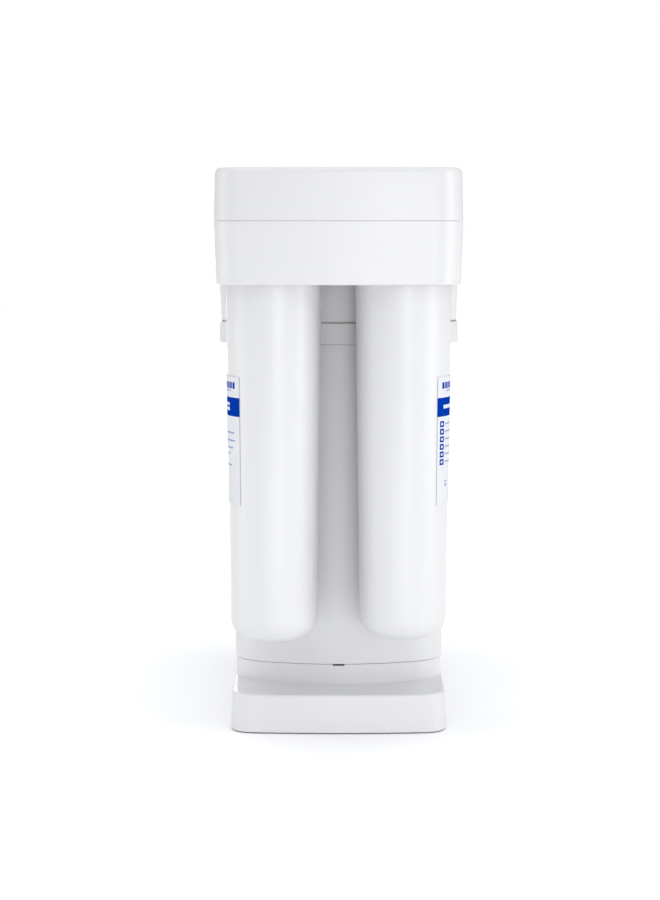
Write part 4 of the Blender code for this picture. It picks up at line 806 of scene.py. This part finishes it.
def make_neck(tank, ports):
    """The collar between the cover and the case, with a tongue at each end and the port window."""
    foot, top = heights("neck_collar")
    bottom, crown = high("tank_cover").z + FIT + tank.neck_gap, low("head_case").z - FIT
    fit = tank.cover_flare + tank.wall + FIT
    inner = fit + tank.wall
    waist = tank.neck_setback + tank.neck_waist
    corners = [(fit, foot), (fit, bottom), (0, bottom, waist), (0, crown, tank.neck_setback)]
    corners += [(fit, crown), (fit, top), (inner, top), (inner, foot)]
    edges = (SOFT, FINE, SOFT, FINE, FINE, FINE, FINE, SOFT)
    neck = stacked(cover_ring, tank, corners, edges, wrap=True)
    middle = centre("collet_tap").z
    half_z = ports.radius + ports.window
    half_y = ports.spacing + half_z
    start = (centre("port_block").x, -half_y, middle - half_z)
    stop = (tank.cover_width, half_y, middle + half_z)
    window = block(start, stop, ports.window_corner, X, 0)
    place_piece("neck_collar", worked(neck, "DIFFERENCE", window))


def deck_height(stand):
    """The rim's top: the shell's foot less the seam and the shoulder."""
    return low("tank_shell").z - stand.seam - stand.shoulder


def stand_ring(stand, inset, z):
    """A ring of the tray, which narrows upwards by its draft."""
    bottom, deck = low("stand").z, deck_height(stand)
    draft = stand.draft * (z - bottom) / (deck - bottom) if z > low("stand_plate").z else 0.0
    return outline(stand, inset, z, draft)


def ramped(ring, start, stop, rise, spare=0.0):
    """Raises points by rise * (start - |y|) / (start - stop), at most the rise, less what is spare."""
    raised = ring.copy()
    climb = rise * np.clip((start - np.abs(ring[:, 1])) / (start - stop), 0, 1)
    raised[:, 2] += np.maximum(climb - spare, 0)
    return raised


def make_stand(stand, tank):
    """A tray with a rounded rim round a lower deck, joined with the collar, and a notch at each end."""
    bottom, deck = low("stand").z, deck_height(stand)
    floor, plate = deck - stand.step, high("stand_plate").z + FIT
    reach = stand.wall + INSIDE_REACH
    corners = stepped(reach, deck - stand.deck, stand.wall, plate, stand.rebate, bottom, 0, deck, stand.rim)
    corners += [(stand.rim + FIT, floor), (stand.rim + INSIDE_REACH / 2, floor)]
    edges = [0, stand.wall / 3, FINE, FINE, FINE, 2 * SOFT, stand.edge, SOFT, SOFT, 0]
    rings = [stand_ring(stand, *corner) for corner in corners]
    ramp = (stand.long / 2 - stand.rim, (tank.long - tank.end_bow) / 2, stand.slope)
    inner = [ramped(rings[-1] * (size, size, 1), *ramp) for size in DECK_SIZES]
    rims = [ramped(ring, *ramp, stand.step) for ring in rings[-4:-2]]
    rings = rings[:-4] + rims + [ramped(ring, *ramp) for ring in rings[-2:]] + inner
    tray = capped(rings, edges + [0] * len(inner))
    shoulder = deck + stand.shoulder + tank.foot_rise
    fit = tank.wall + FIT
    inside = fit + tank.wall
    corners = stepped(inside, deck - stand.root, stand.setback, shoulder, fit, high("stand").z, inside)
    collar = stacked(shell_ring, tank, corners, (FINE, FINE, FINE / 2, FINE, SOFT, SOFT), wrap=True)
    half, deep, slot = stand.notch_width / 2, 2 * tank.wall, stand.notch_height
    end = tank.long / 2 - tank.wall
    notches = [
        block((-half, y - deep, shoulder - slot), (half, y + deep, shoulder + slot / 2), FINE, Z, 0)
        for y in (-end, end)
    ]
    place_piece("stand", worked(worked(tray, "UNION", collar), "DIFFERENCE", gathered(*notches)))


FOOT_SHARES = (0.0, 0.28, 0.32, 0.56, 0.60, 0.70, 0.74, 0.93, 1.0, 1.0, 0.0)  # of a foot's radius


def make_base(stand):
    """The base plate, with a raised border round a shallow panel, and the ribbed rubber feet."""
    bottom, top = heights("stand_plate")
    inset = stand.rebate + FIT
    panel = inset + stand.panel
    corners = [(panel + FIT, bottom + SOFT), (panel, bottom + SOFT)]
    corners += stepped(panel - SOFT, bottom, inset, top, inset + INSIDE_REACH)
    place_piece("stand_plate", stacked(stand_ring, stand, corners, (0, FINE, FINE, SOFT, FINE, 0)))
    for node in FEET:
        top = high(node).z
        levels = (FIT, FIT, 0, 0, FIT, FIT, 0, 0, SOFT, top, top)
        profile = np.column_stack([half_size(node) * np.array(FOOT_SHARES), levels])
        edges = [0] + [FINE / 3] * (len(profile) - 2) + [0]
        place_piece(node, turned(profile, edges, SMALL_FACETS, spot(node)))


def bowl(module, bottom, inset, steps):
    """A rounded foot: r = flat + sweep sin(a) and z = floor + rise (1 - cos(a)), for a quarter turn."""
    turn = np.linspace(0, QUARTER_TURN, steps)
    sweep = module.radius - module.draft - module.flat - inset
    floor, rise = bottom + inset, module.foot - inset
    curve = np.column_stack([module.flat + sweep * np.sin(turn), floor + rise * (1 - np.cos(turn))])
    return np.concatenate([[(0, floor)], curve])


def make_canister(name, module):
    """A tapered cup: the rounded foot outside, the mouth, and the foot inside by the wall's thickness."""
    node = f"{name}_canister"
    bottom, top = low(node).z + module.foot_rise, high(node).z
    outside = bowl(module, bottom, 0, BOWL_STEPS)
    inside = bowl(module, bottom, module.wall, INNER_BOWL_STEPS)[::-1]
    mouth = [(module.radius, top), (module.radius - module.wall, top)]
    edges = [0] * len(outside) + [SOFT, SOFT] + [0] * len(inside)
    profile = np.concatenate([outside, mouth, inside])
    place_piece(node, turned(profile, edges, ROUND_FACETS, spot(node)))


def make_label(name, module, marks):
    """A film round the outer side: at height z its radius is the canister's there plus the fit."""
    node = f"{name}_canister"
    at = spot(node)
    foot, mouth = low(node).z + module.foot_rise + module.foot, high(node).z
    top = mouth - module.label_drop
    bottom = top - module.label_height
    front = math.copysign(QUARTER_TURN, at.y)
    way = math.copysign(1, at.x) * math.copysign(1, -at.y)
    turn = front + way * (module.label_start + module.label_span * np.linspace(0, 1, LABEL_STEPS))
    z = np.array([bottom, bottom, top, top])
    lift = np.array([0, module.film, module.film, 0]) + FIT
    radius = module.radius - module.draft * (mouth - z) / (mouth - foot) + lift
    width = (module.radius - module.draft / 2) * module.label_span
    finish = printed(f"{name}_print", (width, module.label_height), marks)
    data = place_piece(f"{name}_label", swung(radius, z, turn, at), finish).data
    points = np.array([data.vertices[loop.vertex_index].co for loop in data.loops])
    angle = way * (np.arctan2(points[:, Y] - at.y, points[:, X] - at.x) - front)
    angle = np.mod(angle + QUARTER_TURN, FULL_TURN) - QUARTER_TURN
    along = (angle - module.label_start) / module.label_span
    upward = (points[:, Z] - bottom) / module.label_height
    uv = data.uv_layers.new(name="label")
    uv.data.foreach_set("uv", np.column_stack([along, upward]).astype(np.float32).ravel())


def shelf_height(works):
    """The channel plate's underside: the screws' heads rest on its top, a fit above it."""
    return high(SCREWS[0]).z - works.screw_head_height - FIT - works.plate


def make_socket(node, works):
    """A fluted skirt with three ledges, under a roof with a bored boss."""
    (bottom, top), at = heights(node), spot(node)
    outer, shelf = half_size(node), shelf_height(works) - FIT
    inner = outer - works.socket_wall
    bore_top, roof = top - works.roof, shelf - works.roof
    corners = stepped(0, bore_top, works.bore, roof, inner, bottom, outer, shelf, works.boss, top, 0)
    edges = (0, FINE, FINE, SOFT, FINE, SOFT, SOFT, SOFT, SOFT, 0)
    cup = turned(corners, edges, works.flutes * FLUTE_FACETS, at)
    cup = fluted(cup, at, outer, works.flute_depth, works.flutes)
    mouth, wall, ledge = works.socket_mouth, inner + SINK, bottom + works.socket_ledge
    section = ((mouth, wall, wall, mouth), (bottom, bottom, ledge, ledge))
    swing = works.ledge_arc * np.linspace(-0.5, 0.5, LEDGE_STEPS)
    ledges = [swung(*section, turn + swing, at) for turn in (0, FULL_TURN / 3, 2 * FULL_TURN / 3)]
    place_piece(node, worked(cup, "UNION", gathered(*ledges)))


def make_manifold(works):
    """The channel plate joined with its collars, channels, pillars and post, then bored."""
    under = shelf_height(works)
    top = under + works.plate
    level, collar_top = top + works.channel_rise, top + works.collar_height
    half_x, half_y, corner = half_size("manifold"), half_size("manifold", Y), works.plate_corner
    places = stepped(INSIDE_REACH, under, 0, top, INSIDE_REACH)
    rings = [bowed_ring(half_x - inset, half_y - inset, corner - inset, 0, 0, z) for inset, z in places]
    wells = [(spot(name), works.boss, under - PASS) for name in SOCKETS]
    insert_y = centre("flow_restrictor").y
    inserts = [((0, y, 0), works.insert, top) for y in (-insert_y, insert_y)]
    wells += [((0, 0, 0), works.valve, top), *inserts]
    raised = [
        rod(radius + 2 * FIT + works.collar_wall, at, top - SINK, collar_top, SOFT, ROUND_FACETS)
        for at, radius, _ in wells
    ]
    foot, post = low(SCREWS[0]).z + works.pillar_gap, high("stem_nut").z + works.post_gap
    raised += [rod(works.pillar, spot(name), foot, under + SINK, FINE) for name in SCREWS]
    raised.append(rod(works.post, (0, 0, 0), post, under + SINK, FINE))
    span_x, span_y = abs(spot(SOCKETS[0]).x), abs(spot(SOCKETS[0]).y)
    channels = [rod(works.channel, (0, y, level), -span_x, span_x, axis=X) for y in (-span_y, span_y)]
    channels += [rod(works.channel, (x, 0, level), -span_y, span_y, axis=Y) for x in (-span_x, 0, span_x)]
    bores = [
        rod(radius + 2 * FIT, at, floor, collar_top + PASS, 0, ROUND_FACETS) for at, radius, floor in wells
    ]
    bores += [rod(works.screw + FIT, spot(name), foot - PASS, top + PASS) for name in SCREWS]
    bores.append(rod(works.post_bore, (0, 0, 0), post - PASS, under + SINK))
    data = worked(capped(rings, (0, SOFT, SOFT, 0)), "UNION", *raised)
    data = worked(data, "UNION", *channels)
    place_piece("manifold", worked(data, "DIFFERENCE", gathered(*bores)))


def make_screws(works):
    """Button-headed screws, each with a hexagonal socket in its head."""
    for node in SCREWS:
        (bottom, top), at = heights(node), spot(node)
        seat, crown = top - works.screw_head_height, works.screw_crown
        corners = stepped(0, bottom, works.screw, seat, works.screw_head, top - crown)
        corners += [(works.screw_head - 2 * crown, top), (0, top)]
        screw = turned(corners, (0, FINE, FINE / 2, FINE, SOFT, SOFT, 0), SMALL_FACETS, at)
        drive = rod(works.socket_hex, at, seat + crown, top + PASS, facets=6)
        place_piece(node, worked(screw, "DIFFERENCE", drive))


def make_valve(works):
    """The valve's grooved body and its ribbed cap, both turned."""
    radius, stem, roof = works.valve, works.stem, works.cap_roof
    waist, chamber = radius - SOFT, radius - works.valve_wall
    bottom, split = heights("valve_body")
    floor, lower, upper = bottom + works.valve_floor, split - 3 * SINK, split - 2 * SINK
    body = stepped(stem, bottom, radius, lower, waist, upper, radius, split, chamber, floor, stem)
    place_piece("valve_body", turned(body, [FINE] * len(body), wrap=True))
    foot, top = heights("valve_cap")
    inner, dish = radius - works.cap_wall, radius - 3 * roof
    cap = stepped(0, top - roof, inner, foot, waist, foot + roof) + [(radius, foot + roof + SOFT)]
    cap += [(radius, top), (dish + SINK, top), (dish, top - SOFT), (0, top - SOFT)]
    edges = (0, SOFT, FINE, FINE, FINE, FINE, 2 * SOFT, FINE, FINE, 0)
    shell = turned(cap, edges, works.ribs * FLUTE_FACETS)
    place_piece("valve_cap", fluted(shell, (0, 0), radius, works.flute_depth, works.ribs))


def make_inserts(works):
    """The check valve and the flow restrictor: turned plugs with two grip grooves and a sloped nose."""
    radius, waist, dimple = works.insert, works.insert - SOFT, works.insert / 3
    for node in ("check_valve", "flow_restrictor"):
        bottom, top = heights(node)
        corners = [(0, bottom), (radius, bottom)]
        for drop in (works.groove_drop, works.groove_drop - works.groove_pitch):
            foot, head = top - drop, top - drop + works.groove
            corners += [(radius, foot), (waist, foot + SOFT), (waist, head - SOFT), (radius, head)]
        corners += [(radius, top - works.insert_nose), (radius - works.insert_nose, top)]
        corners += [(dimple, top), (dimple - FIT, top - SOFT), (0, top - SOFT)]
        edges = [0] + [FINE] * (len(corners) - 2) + [0]
        place_piece(node, turned(corners, edges, SMALL_FACETS, spot(node)))


def make_ports(ports):
    """The port block: a plate under a shelf, joined with three bored bodies, and a collet in each."""
    back, front, top = low("port_block").x, high("port_block").x, high("port_block").z
    face, pocket = front - ports.proud, low("collet_tap").x - ports.pocket
    middle = centre("collet_tap").z
    half_y, foot = ports.spacing + ports.radius + ports.margin, middle - ports.radius - ports.margin
    plate = block((face - ports.plate, -half_y, foot), (face, half_y, top), SOFT, X)
    shelf = block((back, -half_y, top - ports.plate), (face - ports.plate / 2, half_y, top), SOFT)
    places = [(0, centre(f"collet_{name}").y, middle) for name in PORTS]
    bodies = [rod(ports.radius, at, back, front, SOFT, axis=X) for at in places]
    ways = [rod(ports.bore, at, back - PASS, front + PASS, axis=X) for at in places]
    sleeves = [rod(ports.collet + 2 * FIT, at, pocket, front + PASS, axis=X) for at in places]
    data = worked(worked(plate, "UNION", shelf, *bodies), "DIFFERENCE", gathered(*ways))
    place_piece("port_block", worked(data, "DIFFERENCE", gathered(*sleeves)))
    bore, sleeve, flange = ports.collet_bore, ports.collet, ports.collet_flange
    for name, at in zip(PORTS, places):
        node = f"collet_{name}"
        start, stop = low(node).x, high(node).x
        corners = stepped(bore, start, sleeve, stop - ports.flange, flange, stop, bore + SOFT)
        edges = (FINE, FINE, FINE, FINE, SOFT, FINE, FINE)
        collet = turned([*corners, (bore, stop - SOFT)], edges, SMALL_FACETS, at, axis=X, wrap=True)
        place_piece(node, collet)


# Stage

# Each light's place, size and aim, in metres
LIGHTS = {
    "key": ((1.6, -0.6, 0.4), (0.8, 1.4), (0, 0, 0.2)),
    "fill": ((-0.6, -0.15, 0.3), (0.3, 0.8), (0, 0, 0.25)),
    "low": ((0, -0.7, 0.05), (0.5, 0.06), (0, -0.1, 0.05)),
    "front": ((0.3, -1.8, 0.35), (0.6, 0.6), (0, 0, 0.2)),
    "rear": ((-0.3, 1.8, 0.35), (0.6, 0.6), (0, 0, 0.2)),
}


def make_camera(stage):
    """A camera at the photograph's height, dipped a little, whose shift brings the unit into the frame."""
    data = bpy.data.cameras.new("camera")
    data.sensor_width = stage.sensor
    data.lens = stage.focal
    data.shift_x = stage.shift_across
    data.shift_y = stage.shift_up
    camera = new_object("camera", data)
    camera.location = (0, -stage.camera_back, stage.camera_height)
    camera.rotation_euler = (QUARTER_TURN - stage.camera_dip, 0, 0)
    bpy.context.scene.camera = camera


def make_floor(stage):
    """A wide flat floor at height zero: a two by two grid of points."""
    half = stage.floor / 2
    across, along = np.meshgrid([-half, half], [-half, half])
    points = np.stack([across, along, 0 * across], axis=2).reshape(-1, 3)
    data = bpy.data.meshes.new("floor")
    data.from_pydata(points.tolist(), [], [(0, 1, 3, 2)])
    data.materials.append(moulded("floor_finish", stage.floor_colour, *RECIPES["floor"]))
    floor = new_object("floor", data)


def make_light(name, power, place, size, aim):
    """A soft rectangular light that faces a point."""
    data = bpy.data.lights.new(name, "AREA")
    data.shape = "RECTANGLE"
    data.size, data.size_y = size
    data.energy = power
    lamp = new_object(name, data)
    lamp.visible_camera = False
    lamp.location = place
    lamp.rotation_euler = (Vector(aim) - Vector(place)).to_track_quat("-Z", "Y").to_euler()


def make_surround(stage):
    """Even light from all round, and a white backdrop wherever the camera sees past the floor."""
    world = bpy.data.worlds.new("surround")
    world.use_nodes = True
    bpy.context.scene.world = world
    tree = world.node_tree
    tree.nodes.clear()
    seen = add_node(tree, "ShaderNodeLightPath").outputs["Is Camera Ray"]
    where = add_node(tree, "ShaderNodeTexCoord").outputs["Generated"]
    up = math_node(tree, "MAXIMUM", add_node(tree, "ShaderNodeSeparateXYZ", {0: where}).outputs[Z], 0.0)
    sky = math_node(tree, "MULTIPLY", math_node(tree, "POWER", up, stage.focus), stage.overhead)
    level = math_node(tree, "ADD", sky, stage.surround)
    even = add_node(tree, "ShaderNodeBackground", {0: (*stage.surround_colour, 1), 1: level}).outputs[0]
    backdrop = add_node(tree, "ShaderNodeBackground", {0: (1, 1, 1, 1), 1: 1.0}).outputs[0]
    chosen = add_node(tree, "ShaderNodeMixShader", {0: seen, 1: even, 2: backdrop}).outputs[0]
    add_node(tree, "ShaderNodeOutputWorld", {"Surface": chosen})
    bpy.context.scene.view_settings.view_transform = "Standard"


# Operators


class WATERFILTER_OT_head(Operator):
    """Makes the head's lid and case"""

    bl_idname = "water_filter.head"
    bl_label = "Head"

    def execute(self, context):
        scene = context.scene
        make_lid(scene.filter_head)
        make_case(scene.filter_head, scene.filter_works, scene.filter_module)
        return {"FINISHED"}


class WATERFILTER_OT_tank(Operator):
    """Makes the tank's shell, its cover and the neck"""

    bl_idname = "water_filter.tank"
    bl_label = "Tank"

    def execute(self, context):
        scene = context.scene
        make_tank(scene.filter_tank)
        make_cover(scene.filter_tank)
        make_neck(scene.filter_tank, scene.filter_ports)
        return {"FINISHED"}


class WATERFILTER_OT_stand(Operator):
    """Makes the stand, its base plate and its feet"""

    bl_idname = "water_filter.stand"
    bl_label = "Stand"

    def execute(self, context):
        make_stand(context.scene.filter_stand, context.scene.filter_tank)
        make_base(context.scene.filter_stand)
        return {"FINISHED"}


class WATERFILTER_OT_modules(Operator):
    """Makes the four filter canisters and their labels"""

    bl_idname = "water_filter.modules"
    bl_label = "Filter modules"

    def execute(self, context):
        module = context.scene.filter_module
        for name, marks in zip(MODULES, (LEFT_MARKS, RIGHT_MARKS) * 2):
            make_canister(name, module)
            make_label(name, module, marks)
        return {"FINISHED"}


class WATERFILTER_OT_works(Operator):
    """Makes the sockets, the channel plate, its screws, the valve and the inserts"""

    bl_idname = "water_filter.works"
    bl_label = "Works in the head"

    def execute(self, context):
        works = context.scene.filter_works
        for node in SOCKETS:
            make_socket(node, works)
        make_manifold(works)
        make_screws(works)
        make_valve(works)
        make_inserts(works)
        return {"FINISHED"}


class WATERFILTER_OT_ports(Operator):
    """Makes the port block and its collets"""

    bl_idname = "water_filter.ports"
    bl_label = "Ports"

    def execute(self, context):
        make_ports(context.scene.filter_ports)
        return {"FINISHED"}


class WATERFILTER_OT_carried(Operator):
    """Gives every node that is still shown its finish"""

    bl_idname = "water_filter.carried"
    bl_label = "Carried pieces"

    def execute(self, context):
        for node, obj in frame["nodes"].items():
            if not obj.hide_render:
                for slot in obj.material_slots:
                    slot.material = slot_finish(NODE_SLOT[node])
        return {"FINISHED"}


class WATERFILTER_OT_stage(Operator):
    """Makes the floor, the camera and the soft studio light"""

    bl_idname = "water_filter.stage"
    bl_label = "Stage"

    def execute(self, context):
        stage = context.scene.filter_stage
        make_camera(stage)
        make_floor(stage)
        make_surround(stage)
        for name, row in LIGHTS.items():
            make_light(f"{name}_light", getattr(stage, name), *row)
        return {"FINISHED"}


class WATERFILTER_PT_panel(Panel):
    """Lists the steps, in the order in which they are run"""

    bl_idname = "WATERFILTER_PT_panel"
    bl_label = "Water filter"
    bl_space_type = "VIEW_3D"
    bl_region_type = "UI"
    bl_category = "Water filter"

    def draw(self, context):
        for step in STEPS:
            self.layout.operator(step.bl_idname)


STEPS = (
    WATERFILTER_OT_head,
    WATERFILTER_OT_tank,
    WATERFILTER_OT_stand,
    WATERFILTER_OT_modules,
    WATERFILTER_OT_works,
    WATERFILTER_OT_ports,
    WATERFILTER_OT_carried,
    WATERFILTER_OT_stage,
)
GROUPS = {
    "filter_head": WATERFILTER_PG_head,
    "filter_tank": WATERFILTER_PG_tank,
    "filter_stand": WATERFILTER_PG_stand,
    "filter_module": WATERFILTER_PG_module,
    "filter_works": WATERFILTER_PG_works,
    "filter_ports": WATERFILTER_PG_ports,
    "filter_finishes": WATERFILTER_PG_finishes,
    "filter_stage": WATERFILTER_PG_stage,
}


def register():
    for item in (*GROUPS.values(), *STEPS, WATERFILTER_PT_panel):
        bpy.utils.register_class(item)
    for name, group in GROUPS.items():
        setattr(bpy.types.Scene, name, PointerProperty(type=group))


def unregister():
    for name in GROUPS:
        delattr(bpy.types.Scene, name)
    for item in reversed((*GROUPS.values(), *STEPS, WATERFILTER_PT_panel)):
        bpy.utils.unregister_class(item)


def main():
    register()
    for step in STEPS:
        group, name = step.bl_idname.split(".")
        getattr(getattr(bpy.ops, group), name)()


if __name__ == "__main__":
    main()
